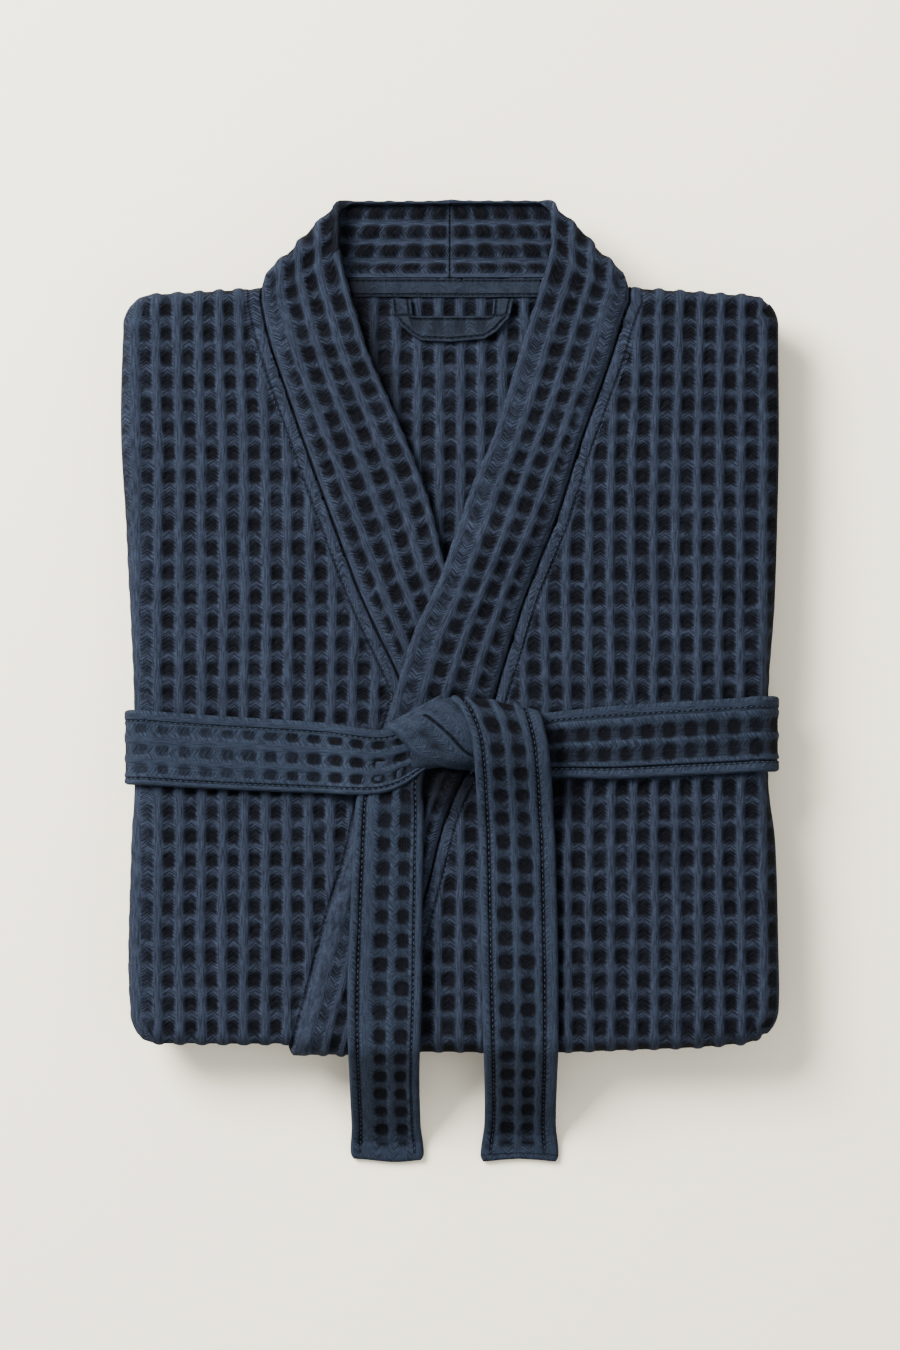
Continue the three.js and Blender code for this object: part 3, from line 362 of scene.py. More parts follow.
def cloth_sheet(name, u_lines, v_lines, place, material, wall, flip=False):
    """A thin shell of cloth. place gives, for arrays of grid lines, the points in mm, the weave's own
    coordinates (cells across, cells along, height 0 to 1 that sets the colour, with painted shade in some
    places) and the seam's (distance, along, pressed)."""
    bm = bmesh.new()
    bmesh.ops.create_grid(bm, x_segments=len(u_lines) - 1, y_segments=len(v_lines) - 1, size=1)
    if flip:
        bmesh.ops.reverse_faces(bm, faces=bm.faces)
    mesh = bpy.data.meshes.new(name)
    bm.to_mesh(mesh)
    flat = np.empty(len(mesh.vertices) * 3)
    mesh.vertices.foreach_get("co", flat)
    flat = flat.reshape(-1, 3)
    share = (flat - flat.min(0))[:, :2] / np.ptp(flat, axis=0)[:2]
    i = np.rint(share[:, 0] * (len(u_lines) - 1)).astype(int)
    j = np.rint(share[:, 1] * (len(v_lines) - 1)).astype(int)
    points, weave, edge = place(u_lines[i], v_lines[j])
    mesh.vertices.foreach_set("co", (points * MM).astype(np.float32).ravel())
    write_attribute(mesh, "weave", weave)
    write_attribute(mesh, "edge", edge)
    bm.clear()
    bm.from_mesh(mesh)
    bmesh.ops.remove_doubles(bm, verts=bm.verts, dist=0.002 * MM)
    loose = [v for v in bm.verts if not v.link_faces]
    bmesh.ops.delete(bm, geom=loose, context="VERTS")
    bm.to_mesh(mesh)
    bm.free()
    return finish_piece(name, mesh, material, wall)


def mesh_from(bm, name):
    mesh = bpy.data.meshes.new(name)
    bm.to_mesh(mesh)
    bm.free()
    return mesh


def finish_piece(name, mesh, material, wall=0.0):
    mesh.materials.append(material)
    mesh.polygons.foreach_set("use_smooth", [True] * len(mesh.polygons))
    piece = bpy.data.objects.new(name, mesh)
    bpy.context.scene.collection.objects.link(piece)
    if wall:
        shell = piece.modifiers.new("wall", "SOLIDIFY")
        shell.thickness = wall * MM
        shell.offset = -1
    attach(piece, "root")
    return piece


def stack(*columns):
    return np.stack(np.broadcast_arrays(*columns), axis=-1).astype(float)


# ---- materials ----


def linear(hex_colour):
    """A linear colour from an sRGB hex value."""
    value = int(hex_colour.lstrip("#"), 16)
    channels = [(value >> shift & 255) / 255 for shift in (16, 8, 0)]
    return tuple(c / 12.92 if c <= 0.04045 else ((c + 0.055) / 1.055) ** 2.4 for c in channels)


def node(tree, kind, settings=None, **inputs):
    """Adds a node. settings are its own properties, or just its operation. inputs are values of its sockets,
    or sockets or nodes to link to them."""
    made = tree.nodes.new("ShaderNode" + kind)
    if isinstance(settings, str):
        settings = {"operation": settings}
    for key, value in (settings or {}).items():
        setattr(made, key, value)
    for key, value in inputs.items():
        numbered = key[0] == "i" and key[1:].isdigit()
        socket = made.inputs[int(key[1:]) if numbered else key.replace("_", " ")]
        if isinstance(value, bpy.types.Node):
            value = value.outputs[0]
        if isinstance(value, bpy.types.NodeSocket):
            tree.links.new(value, socket)
        else:
            socket.default_value = value
    return made


SMOOTH_STEP = {"interpolation_type": "SMOOTHSTEP"}
FLAT_NOISE = {"noise_dimensions": "2D"}


def waffle_cotton(name, ridge, pit, streak):
    """Cotton in a honeycomb weave, dyed in the piece: long floats of yarn stand up as matt, slightly fuzzy
    ridges that catch the light, round cells that it hardly reaches. Arcs of weft show above each cell."""
    material = bpy.data.materials.new(name)
    material.use_nodes = True
    tree = material.node_tree
    tree.nodes.clear()
    weave = node(tree, "Attribute", {"attribute_name": "weave"}).outputs["Vector"]
    u, v, height = node(tree, "SeparateXYZ", i0=weave).outputs
    # 0 in the middle of a lengthwise ridge, 0.5 in the middle of a cell.
    across = node(tree, "Math", "PINGPONG", i0=u, i1=0.5)
    in_ridge = node(tree, "MapRange", SMOOTH_STEP, i0=across, i1=0.18, i2=0.28, i3=1.0, i4=0.0)
    # Floats of yarn lie along the ridges, about 1 mm wide, and arcs of weft cross the cells at the same width.
    lengthwise = node(tree, "VectorMath", "MULTIPLY", i0=weave, i1=(13.0, 1.7, 0.0))
    floats = node(tree, "TexNoise", FLAT_NOISE, Vector=lengthwise, Scale=1.0, Detail=3.0, Roughness=0.65)
    arch = node(tree, "Math", "MULTIPLY", i0=across, i1=across)
    bent = node(tree, "Math", "MULTIPLY_ADD", i0=arch, i1=-0.9, i2=v)
    crosswise = node(tree, "CombineXYZ", i0=u, i1=bent)
    stretched = node(tree, "VectorMath", "MULTIPLY", i0=crosswise, i1=(1.6, 15.0, 0.0))
    arcs = node(tree, "TexNoise", FLAT_NOISE, Vector=stretched, Scale=1.0, Detail=2.0, Roughness=0.6)
    arcs = node(tree, "MapRange", i0=arcs, i1=0.36, i2=0.64, i3=0.12, i4=0.88)
    yarn = node(tree, "Mix", i0=in_ridge, i2=arcs, i3=floats)
    place = node(tree, "TexCoord").outputs["Object"]
    # Fuzz of loose fibres: real ones are 0.02 mm, drawn at 0.5 mm so that they show.
    fuzz = node(tree, "TexNoise", Vector=place, Scale=1900.0, Detail=2.0)
    patches = node(tree, "TexNoise", Vector=place, Scale=26.0, Detail=3.0)
    # The colour follows the weave's height, from the cell colour at the cell floors to the ridge colour. Partly
    # this is the dark yarn seen through the loose weave and partly it is painted shade deep in the cells.
    depth = node(tree, "ValToRGB", i0=height)
    ramp = depth.color_ramp
    ramp.elements[0].position, ramp.elements[0].color = 0.12, (*pit, 1)
    ramp.elements[1].position, ramp.elements[1].color = 0.75, (*ridge, 1)
    middle = ramp.elements.new(0.45)
    middle.color = (*(0.6 * a + 0.4 * b for a, b in zip(pit, ridge)), 1)
    light = node(tree, "MapRange", i0=yarn, i1=0.3, i2=0.72, i3=1.0 - streak, i4=1.0 + streak)
    for pattern, darkest, lightest in ((fuzz, 0.72, 1.28), (patches, 0.9, 1.1)):
        tint = node(tree, "MapRange", i0=pattern, i1=0.3, i2=0.7, i3=darkest, i4=lightest)
        light = node(tree, "Math", "MULTIPLY", i0=light, i1=tint)
    edge = node(tree, "Attribute", {"attribute_name": "edge"}).outputs["Vector"]
    stitch_distance, along, slit_distance = node(tree, "SeparateXYZ", i0=edge).outputs
    # Lockstitches in a shallow groove, a little lighter where the thread comes up.
    off_line = node(tree, "Math", "ABSOLUTE", i0=stitch_distance)
    groove = node(tree, "MapRange", SMOOTH_STEP, i0=off_line, i1=0.35, i2=1.1, i3=1.0, i4=0.0)
    dash = node(tree, "Math", "PINGPONG", i0=along, i1=STITCH_PITCH / 2)
    gap = node(tree, "MapRange", i0=dash, i1=0.25, i2=0.6, i3=1.0, i4=0.7)
    sunk = node(tree, "Math", "MULTIPLY", i0=groove, i1=gap)
    sunk = node(tree, "Math", "MULTIPLY", i0=sunk, i1=STITCH_SHADE)
    slit = node(tree, "MapRange", SMOOTH_STEP, i0=slit_distance, i1=0.1, i2=0.8, i3=1.0, i4=0.0)
    dark = node(tree, "Math", "MAXIMUM", i0=slit, i1=sunk)
    shade = node(tree, "MapRange", i0=dark, i3=1.0, i4=0.22)
    light = node(tree, "Math", "MULTIPLY", i0=light, i1=shade)
    colour = node(tree, "VectorMath", "SCALE", i0=depth, Scale=light)
    relief = node(tree, "Math", "MULTIPLY_ADD", i0=dark, i1=-1.6, i2=yarn)
    relief = node(tree, "Math", "MULTIPLY_ADD", i0=fuzz, i1=0.35, i2=relief)
    bump = node(tree, "Bump", Strength=0.75, Distance=0.45 * MM, Height=relief)
    shader = node(tree, "BsdfPrincipled", Base_Color=colour, Roughness=0.95, Normal=bump,
                  Specular_IOR_Level=0.05, Sheen_Weight=0.02, Sheen_Roughness=0.6, Sheen_Tint=(*ridge, 1))
    node(tree, "OutputMaterial", Surface=shader)
    return material


def painted_floor(name, colour):
    """A matt painted table top: pale, even, with no gloss."""
    material = bpy.data.materials.new(name)
    material.use_nodes = True
    tree = material.node_tree
    tree.nodes.clear()
    place = node(tree, "TexCoord").outputs["Object"]
    grain = node(tree, "TexNoise", Vector=place, Scale=3.0, Detail=2.0)
    tint = node(tree, "MapRange", i0=grain, i3=0.985, i4=1.0)
    paint = node(tree, "VectorMath", "SCALE", i0=colour, Scale=tint)
    shader = node(tree, "BsdfPrincipled", Base_Color=paint, Roughness=0.9, Specular_IOR_Level=0.1)
    node(tree, "OutputMaterial", Surface=shader)
    return material


# ---- fronts and back ----

TOPSTITCH = 6.6
STITCH_PITCH, STITCH_RISE, STITCH_SHADE = 3.2, 0.05, 0.85
STITCH = (2.3, 0.66, 0.5)
# Distances for places with no stitches near and for cloth with no seam at all, and such cloth's edge attribute.
OFF_STITCH, NO_EDGE = 9.0, 99.0
UNSEWN = (NO_EDGE, 0, NO_EDGE)


def edge_line(band, edge, shift):
    """A band's seam or fold edge in plan, moved sideways, as X at each Y."""
    share = np.linspace(0, 1, 160)
    x, y = (read_share(band, share, edge + axis) for axis in ("_x", "_y"))
    along_x, along_y = np.gradient(x), np.gradient(y)
    length = np.hypot(along_x, along_y)
    x, y = x - along_y / length * shift, y + along_x / length * shift
    order = np.argsort(y)
    return lambda at: np.interp(at, y[order], x[order])


seam_right, seam_left = edge_line(COLLAR_RIGHT, "seam", -GAP), edge_line(COLLAR_LEFT, "seam", GAP)
under_band = edge_line(COLLAR_LEFT, "fold", 6.0)


def right_trim(y):
    """The right front ends at its collar seam, and lower down a little way under the left band."""
    return lerp(under_band(y), seam_right(y), smooth(y, -14, -6))


# Over or under, collar seam, side of the seam, seed, first and last cell across.
FRONTS = {
    "front_right": (0, right_trim, 1, 11, -4, 12),
    "front_left": (1, seam_left, -1, 21, 9, 31),
}


def front_place(over, trim, side, seed, pit):
    """Places the cloth of a front. trim gives the X of its collar seam, on the side that side names."""

    def place(u, v):
        x0, y0 = WEAVE_X + u * CELL_ACROSS, WEAVE_Y + v * CELL_ALONG
        flat_x, flat_y = np.clip(x0, WEAVE_X, -WEAVE_X), np.clip(y0, WEAVE_Y, FLAT_TOP_Y)
        left, right, top, bottom = roll_starts(flat_x, flat_y, over)
        turn = np.pi * bend_at(flat_y, over)
        low_x, high_x, low_y, high_y = left - turn, right + turn, bottom - turn, top + turn
        seam = trim(y0)
        slope = (trim(y0 + 1) - trim(y0 - 1)) / 2
        if side > 0:
            high_x = np.minimum(high_x, seam)
        else:
            low_x = np.maximum(low_x, seam)
        inside = np.minimum(np.minimum(x0 - low_x, high_x - x0), np.minimum(y0 - low_y, high_y - y0))
        # The cells wander, except at the edges, and lean away from the seam towards the shoulder.
        free = smooth(inside, 0, 9)
        near = np.exp(-np.clip(side * (seam - x0), 0, None) / 45) * smooth(y0, -20, 60)
        x = x0 + free * (0.55 * noise(u * 0.45, v * 0.3, seed) + 0.035 * near * (110 - y0) * side)
        y = y0 + free * 0.7 * noise(u * 0.3, v * 0.45, seed + 1)
        x, y = np.clip(x, low_x, high_x), np.clip(y, low_y, high_y)
        distance = np.clip(side * (seam - x) / np.hypot(1, slope), 0, NO_EDGE)
        # They are flattened between seam and stitches, and along the side that the right front turns over.
        pressed = 0.85 * (1 - smooth(distance, TOPSTITCH, TOPSTITCH + 3))
        side_worn = 0.6 * (1 - smooth(x0 - left, -2, 10)) * (1 - over)
        height = lerp(waffle(u, v, seed, 1 + 0.1 * over), 0.86, np.maximum(pressed, side_worn))
        _, _, _, _, past = edge_foot(x, y, over)
        lift = GAP + CLOTH + RIDGE_RISE - pit * (1 - height) * (1 - 0.5 * smooth(past, -2, 6))
        lift = lift + 0.45 * noise(x / 48, y / 60, seed + 2) * smooth(distance, 2, 12)
        lift = lift - 0.8 * bell(distance, 0.8) - 1.1 * bell(distance - TOPSTITCH, 0.7)
        points = wrap(x, y, lift, over)
        # Below the waist the colour is darkened by painted shadow below the knot and beside the right tail.
        shaded_height = height * np.where(y < 0, painted_shade(x, y), 1)
        return points, stack(u, v, shaded_height), stack(distance - TOPSTITCH, y, distance)

    return place


def back_place(seed, pit, right_end, left_end):
    """Places the inside of the back, which ends a little way under the two halves of the band."""

    def place(u, v):
        x0, y0 = WEAVE_X + u * CELL_ACROSS, WEAVE_Y + v * CELL_ALONG
        low_x = right_end(y0)
        high_x = np.maximum(left_end(y0), low_x)
        inside = np.minimum(x0 - low_x, high_x - x0)
        x = x0 + smooth(inside, 0, 8) * 0.9 * noise(u * 0.45, v * 0.3, seed)
        x, y = np.clip(x, low_x, high_x), np.clip(y0, 50, 223.4)
        height = waffle(u, v, seed)
        lift = RIDGE_RISE - pit * (1 - height) + 0.4 * noise(x / 30, y / 40, seed + 1)
        z = pile_height(x, y, 0) + lift
        # The colour carries the painted shadow along the neck's right side, under the band.
        return stack(x, y, z), stack(u, v, height * painted_shade(x, y)), stack(NO_EDGE, y, NO_EDGE)

    return place


# ---- collar ----

BACK_CELLS, BAND_COLUMNS, BAND_PITCH = 8, 4, 12.6
# The plain strip inside the left band's fold edge, and how the band thins out towards its seam.
BAND_BORDER, SEAM_RISE, SEAM_REACH = 0.17, 2.7, 5.5


# The band's table, side, fold at the neck, over or under, seed and cut length in metres.
BANDS = {
    "collar_right": (COLLAR_RIGHT, -1, NECK_FOLD_RIGHT, 0, 81, 0.37),
    "collar_left": (COLLAR_LEFT, 1, NECK_FOLD_LEFT, 1, 91, 0.57),
}


def run_length(x, y):
    """The distance along a line to each of its points."""
    return np.concatenate([[0], np.cumsum(np.hypot(np.diff(x), np.diff(y)))])


def collar_place(band, side, neck_fold, over, seed, pit):
    """Places one half of the band, doubled cloth with its fold edge rolled under."""
    fold_start = neck_fold - math.sqrt(2) * (NECK_INSIDE + COLLAR_CLOTH)
    arc = NECK_INSIDE + COLLAR_CLOTH / 2
    centre_back = fold_start + math.pi * arc / math.sqrt(2) + 0.1
    fine = np.linspace(0, 1, 600)
    fold_x, fold_y, seam_x, seam_y = read_row(band, fine)
    cells = run_length((fold_x + seam_x) / 2, (fold_y + seam_y) / 2) / BAND_PITCH + BACK_CELLS

    def place(u, v):
        share = np.interp(v, cells, fine)
        fold_x, fold_y, seam_x, seam_y = read_row(band, share)
        at_back = np.clip(1 - v / BACK_CELLS, 0, 1)
        width = np.hypot(seam_x - fold_x, seam_y - fold_y)
        border = BAND_BORDER * (1 - smooth(fold_y, -60, -20)) * over
        radius = COLLAR_CLOTH / 2
        first = np.maximum(radius / width, border)
        angle = np.clip(u, -1, 0) * np.pi + np.pi / 2
        flat = lerp(first, 1, np.clip(u, 0, BAND_COLUMNS) / BAND_COLUMNS)
        round_t = radius * (1 - np.cos(angle)) / width
        t = np.where(u < 0, round_t, flat)
        rise = np.where(u < 0, radius * (1 + np.sin(angle)), COLLAR_CLOTH)
        to_seam = (1 - t) * width
        rise = np.minimum(rise, lerp(SEAM_RISE, COLLAR_CLOTH, smooth(to_seam, 0, SEAM_REACH)))
        plain = np.where(u < 0, 0.55, 1 - smooth(to_seam, SEAM_REACH - 2, SEAM_REACH))
        # Cells are shallow in the left band's first row, and in both bands' last row near the shoulder.
        shallow = 0.5 * over * (1 - smooth(u, 0.85, 1.15)) * smooth(v, 9, 12)
        shallow = np.maximum(shallow, 0.7 * bell(v - 9.8, 2.2) * smooth(u, 2.4, 3.1))
        height = lerp(lerp(waffle(u, v, seed, 1.12), 0.9, plain), 0.9, shallow)
        depth = pit * (1 - height)
        from_back = v * BAND_PITCH
        lift = GAP + rise + RIDGE_RISE - depth - 0.6 * bell(to_seam, 0.7)
        lift = lift + 0.35 * noise(v / 3.5, u / 4, seed + 2) - 0.9 * bell(from_back, 0.8)
        x = side * lerp(fold_x, seam_x, t)
        y = lerp(fold_y, seam_y, t)
        y = lerp(y, centre_back, at_back)
        x = x + np.where(u < 0, depth * np.cos(angle), 0) * smooth(v, 0, 1)
        # Behind the neck the band is folded down along a line at 45 degrees.
        past = (x + y - fold_start) / math.sqrt(2)
        foot_x, foot_y = x - past / math.sqrt(2), y - past / math.sqrt(2)
        turn = np.clip(past / arc, 0, np.pi)
        reach = NECK_INSIDE + lift - GAP
        out = reach * np.sin(turn) - np.maximum(past - np.pi * arc, 0)
        base = pile_height(side * foot_x, np.minimum(foot_y, FLAT_TOP_Y), over) + GAP - NECK_INSIDE
        folded = stack(side * (foot_x + out / math.sqrt(2)), foot_y + out / math.sqrt(2),
                       base + reach * np.cos(turn))
        # The left band rises where it crosses the right one.
        crossed = smooth(y, CROSSING_BOTTOM, CROSSING_LOW) * (1 - smooth(y, CROSSING_HIGH, CROSSING_TOP))
        bump = over * crossed * (1 - smooth(t, 0.35, 1))
        bump = bump * np.maximum(OVERLAP_EXTRA + COLLAR_CLOTH - CLOTH - overlap_at(y), 0)
        laid = wrap(side * x, y, lift + bump, over, True)
        points = np.where((past > 0)[:, None], folded, laid)
        # Behind the neck and below the waist the colour is darkened by painted shade.
        shaded_height = height * np.where((at_back > 0) | (y < 0), painted_shade(side * x, y), 1)
        return points, stack(u, v, shaded_height), stack(NO_EDGE, from_back, np.minimum(to_seam, 0.4 + from_back))

    return place, float(cells[-1])


# ---- straps: belt, tails ----


def strap_lines(strap, edge=0.05):
    """Lines all round a strap: 0 to 1 over its face, with lines on the walls of its rows of cells, and
    1 to 2 back underneath."""
    face = [0, 0.3 * edge, 0.65 * edge, edge, 1 - edge, 1 - 0.65 * edge, 1 - 0.3 * edge, 1]
    for centre, half in strap["cells"]:
        face += [centre + half * k for k in (-1.4, -1.15, -0.9, -0.6, 0, 0.6, 0.9, 1.15, 1.4)]
    for centre, half, _ in strap["grooves"]:
        face += [centre + half * k for k in (-1.4, -0.9, -0.45, 0, 0.45, 0.9, 1.4)]
    face = np.unique(np.round(np.clip(face, 0, 1), 3))
    under = 2 - np.array([1 - 0.3 * edge, 1 - edge, 0.75, 0.5, 0.25, edge, 0.3 * edge, 0])
    return np.concatenate([face, under])


def strap_height(t, v, strap, seed, fade=1.0, pleat=0.0):
    """Height of a pressed strap's weave: cells in rows, and grooves along it. The cells lean as the
    fronts' do. fade is their depth and pleat how far the rows have closed into pleats."""
    height = np.ones_like(t)
    lean_a, lean_b = strap["lean"]
    for k, (centre, half) in enumerate(strap["cells"]):
        i = np.floor(v)
        a = (t - centre) / (half * (1 + 0.1 * chance(i, k, seed)))
        b = (v - i - 0.5) / (0.34 * (1 + 0.1 * chance(i, k, seed + 1)))
        a = np.abs(a) * np.where(a * lean_a > 0, 1.2, 0.94)
        b = np.abs(b) * np.where(b * lean_b > 0, 1.2, 0.94)
        rim = (a**3 + b**3) ** (1 / 3)
        deep = (0.92 + 0.08 * chance(i, k, seed + 2)) * fade
        valley = lerp(strap["valley"], 0.75, pleat) * (1 - smooth(a, 0.6, 1.4))
        height = np.minimum(height, 1 - np.maximum(deep * (1 - smooth(rim, 0.75, 1.35)), valley))
    for centre, half, deep in strap["grooves"]:
        height = height - deep * bell(t - centre, half) * (1 + 0.2 * noise(v * 1.7, centre, seed))
    return np.clip(height, 0, 1)


# Rows of cells: place across and half width. Grooves: place, half width and depth. Lean: which way across
# and along the walls of the cells are steep. Valley: depth between the cells of a row. Fade: how much
# shallower the cells are far from the knot. Stitches: places across.
STRAPS = {
    "belt_left": {
        "cells": [(0.22, 0.075), (0.47, 0.085), (0.745, 0.065)],
        "grooves": [(0.09, 0.02, 0.4), (0.855, 0.016, 0.35)],
        "lean": (-1, -1),
        "valley": 0.25,
        "fade": 0.4,
        "stitches": (0.09, 0.855),
    },
    "belt_right": {
        "cells": [(0.32, 0.115), (0.61, 0.11)],
        "grooves": [(0.155, 0.014, 0.75), (0.835, 0.02, 0.4)],
        "lean": (-1, 1),
        "valley": 0.5,
        "fade": 0.05,
        "stitches": (0.135, 0.87),
    },
    "belt_tail_left": {
        "cells": [(0.45, 0.1), (0.74, 0.095)],
        "grooves": [(0.135, 0.04, 0.8), (0.88, 0.018, 0.5)],
        "lean": (1, 1),
        "valley": 0.45,
        "fade": 0,
        "stitches": (0.135, 0.88),
    },
    "belt_tail_right": {
        "cells": [(0.335, 0.1), (0.615, 0.1)],
        "grooves": [(0.13, 0.035, 0.8), (0.82, 0.035, 0.8)],
        "lean": (1, 1),
        "valley": 0.5,
        "fade": 0,
        "stitches": (0.13, 0.82),
    },
    "belt_under": {"cells": [], "grooves": [], "lean": (1, 1), "valley": 0, "fade": 0, "stitches": ()},
}


def belt_height(x, y, side):
    on_front = 2 * GAP + CLOTH + BELT_CLOTH / 2
    climb = OVERLAP_EXTRA + COLLAR_CLOTH - CLOTH + CLIMB_LOFT
    if side > 0:
        return pile_height(x, y, 1) + on_front
    return pile_height(x, y, 0) + on_front + climb * smooth(x, CLIMB_FROM, CLIMB_TO)


def round_off(distance, reach):
    """How thick doubled cloth is towards its rounded edge, from 0 to 1."""
    return np.sqrt(np.clip(1 - (1 - np.clip(distance, 0, reach) / reach) ** 2, 0, 1))


def strap_edge(t):
    return round_off(np.minimum(t, 1 - t), 0.05)


def strap_face(u):
    """The place across a strap's width of a place all round it."""
    return np.where(u <= 1, u, 2 - u)


def stitch_line(t, strap, width):
    """The distance from a strap's nearest line of stitches."""
    return np.min([np.abs(t - line) for line in strap["stitches"]], axis=0) * width


def belt_place(rows, name, side, over, seed, pit):
    """Places a stretch of belt: from the knot over the top, round the side and a little way under."""
    strap = STRAPS[name]
    knot_end = rows["x"][-1] if side < 0 else rows["x"][0]
    edge = read(SIDES, "y", CINCH_Y, "left" if side < 0 else "right")
    roll, half = roll_at(CINCH_Y, over), BELT_CLOTH / 2
    centre_x = edge - side * roll
    out, up = roll + BELT_OUT, roll + 2 * GAP + CLOTH + half
    foot_z = BELT_FOOT + half
    runs = np.array([
        abs(centre_x - knot_end),
        np.pi / 4 * (out + up),
        pile_height(edge, CINCH_Y, over) - roll - foot_z,
        np.pi / 2 * BELT_FOOT,
        abs(centre_x + side * (out - BELT_FOOT)) - BELT_SEAM,
    ])
    starts = np.concatenate([[0], np.cumsum(runs)])

    def place(u, v):
        s = v * CELL_ACROSS
        share = [np.clip((s - start) / run, 0, 1) for start, run in zip(starts, runs)]
        turn, tuck = share[1] * np.pi / 2, share[3] * np.pi / 2
        top_x = knot_end + side * share[0] * runs[0]
        t = strap_face(u)
        at_x = np.where(s < starts[1], top_x, edge)
        bottom, top = read(rows, "x", at_x, "bottom"), read(rows, "x", at_x, "top")
        y = lerp(bottom, top, t)
        x = top_x + side * (out * np.sin(turn) - BELT_FOOT * (1 - np.cos(tuck)) - share[4] * runs[4])
        turn_z = pile_height(edge, y, over) - roll
        z = np.where(s < starts[1], belt_height(top_x, y, side), turn_z + up * np.cos(turn))
        z = lerp(z, foot_z, share[2]) - BELT_FOOT * np.sin(tuck)
        # Near the knot the rows of cells close into pleats, and away from it the cells are flatter.
        near_knot = 0.9 * (1 - smooth(s, 6, 40))
        height = strap_height(t, v, strap, seed, 1 - strap["fade"] * smooth(s, 40, 120), near_knot)
        angle = turn + tuck
        face = np.where(u <= 1, half + 0.2 * (1 - share[2]) - pit * (1 - height), -half)
        thick = strap_edge(t) * face
        points = stack(x + side * np.sin(angle) * thick, y, z + np.cos(angle) * thick)
        stitch = stitch_line(t, strap, top - bottom)
        # Painted shade: the right belt's colour darkens over its first cells next to the knot.
        painted_knot_shade = 0.6 * (1 - smooth(s, 3, 16)) * (side > 0)
        return points, stack(t * 3.4, v, height * (1 - painted_knot_shade)), stack(stitch, s, NO_EDGE)

    return place, float(starts[-1]) / CELL_ACROSS


def tail_place(rows, name, support, skew, seed, pit):
    """Places a tail: over the knot or from under it, down the front, round the hem fold and to the floor."""
    strap = STRAPS[name]
    half = BELT_CLOTH / 2
    hem_x = (read(rows, "y", HEM["over"][1], "left") + read(rows, "y", HEM["over"][1], "right")) / 2
    hem_y = read(HEM, "x", hem_x, "over") + ROLL
    hem_z = pile_height(hem_x, hem_y, 1) - ROLL
    radius = ROLL + support + GAP + half + 0.2
    steepest = math.atan(TAIL_SLOPE)
    brink_y, brink_z = hem_y - radius * math.sin(steepest), hem_z + radius * math.cos(steepest)
    foot_z = TAIL_FLOOR + half
    foot_y = brink_y - (brink_z - foot_z) / TAIL_SLOPE

    def centre(share, t):
        y = np.maximum(read_share(rows, share, "y"), TAIL_END)
        left, right = read_share(rows, share, "left"), read_share(rows, share, "right")
        x = lerp(left, right, t)
        y = y - skew * np.clip(t, 0, 1) ** 1.6 * (1 - smooth(share * (len(rows["y"]) - 1), 0.5, 4.5))
        laid = pile_height(x, np.clip(y, hem_y, rows["y"][0]), 1) + support + GAP + half
        laid = laid + read_share(rows, share, "rise")
        bent = hem_z + np.sqrt(np.maximum(radius**2 - np.clip(hem_y - y, 0, radius) ** 2, 0))
        down = lerp(brink_z, foot_z, np.clip((brink_y - y) / (brink_y - foot_y), 0, 1))
        ease = 1.6 * bell(y - foot_y, 7)
        z = np.where(y > hem_y, laid, np.where(y > brink_y, bent, down + ease))
        return x, y, z, right - left

    fine = np.linspace(0, 1, 900)
    _, fine_y, fine_z, _ = centre(fine, 0.5)
    cells = run_length(fine_y, fine_z) / CELL_ALONG
    end = float(cells[-1])

    def place(u, v):
        t = strap_face(u)
        share = np.interp(v, cells, fine)
        x, y, z, width = centre(share, t)
        step = 0.002
        _, y1, z1, _ = centre(np.clip(share - step, 0, 1), t)
        _, y2, z2, _ = centre(np.clip(share + step, 0, 1), t)
        dy, dz = y2 - y1, z2 - z1
        size = np.maximum(np.hypot(dy, dz), 1e-6)
        height = strap_height(t, v, strap, seed)
        to_end = (end - v) * CELL_ALONG
        height = lerp(height, 0.85, 1 - smooth(to_end, END_STITCH + 3, END_STITCH + 6))
        # The end is a little wider than the strap, has rounded corners and isn't quite straight.
        flare = 1 + 0.06 * (1 - smooth(to_end, 4, 22)) - 0.09 * (1 - np.clip(to_end / 4, 0, 1)) ** 2
        x = x + (t - 0.5) * width * (flare - 1)
        y = y + (1 - smooth(to_end, 0, 12)) * (0.9 * np.sin(t * 5 + seed) - 0.4)
        height = height - 0.4 * bell(to_end - END_STITCH, 0.9)
        face = np.where(u <= 1, half + 0.2 - pit * (1 - height), -half)
        thick = strap_edge(t) * face * round_off(to_end, 1.8)
        ripple = 0.5 * noise(v / 2.5, t * 2, seed + 5) * smooth(to_end, 0, 20)
        points = stack(x, y + dz / size * (thick + ripple), z - dy / size * (thick + ripple))
        points[:, 2] = np.maximum(points[:, 2], TAIL_FLOOR)
        stitch = np.where(to_end < END_STITCH + 0.5, OFF_STITCH, stitch_line(t, strap, width))
        stitch = np.minimum(stitch, np.abs(to_end - END_STITCH))
        # The left tail's colour is darkened by painted shadow below the knot.
        shaded_height = height * (painted_shade(points[:, 0], points[:, 1]) if skew == 0 else 1)
        return points, stack(t * 4.2, v, shaded_height), stack(stitch, v * CELL_ALONG, NO_EDGE)

    return place, end


# ---- knot ----

KNOT_CORE = table(
    "x y wide high base",
    (-22, -37, 24, 5, 43.7),
    (-17, -35, 29, 8, 43.7),
    (-6, -31.5, 32, 9, 43.7),
    (8, -31, 33, 9.6, 43.2),
    (26, -31, 33, 9.4, 43.2),
    (40, -32, 30, 7, 43.2),
    (43, -32, 24, 4.5, 43.2),
)
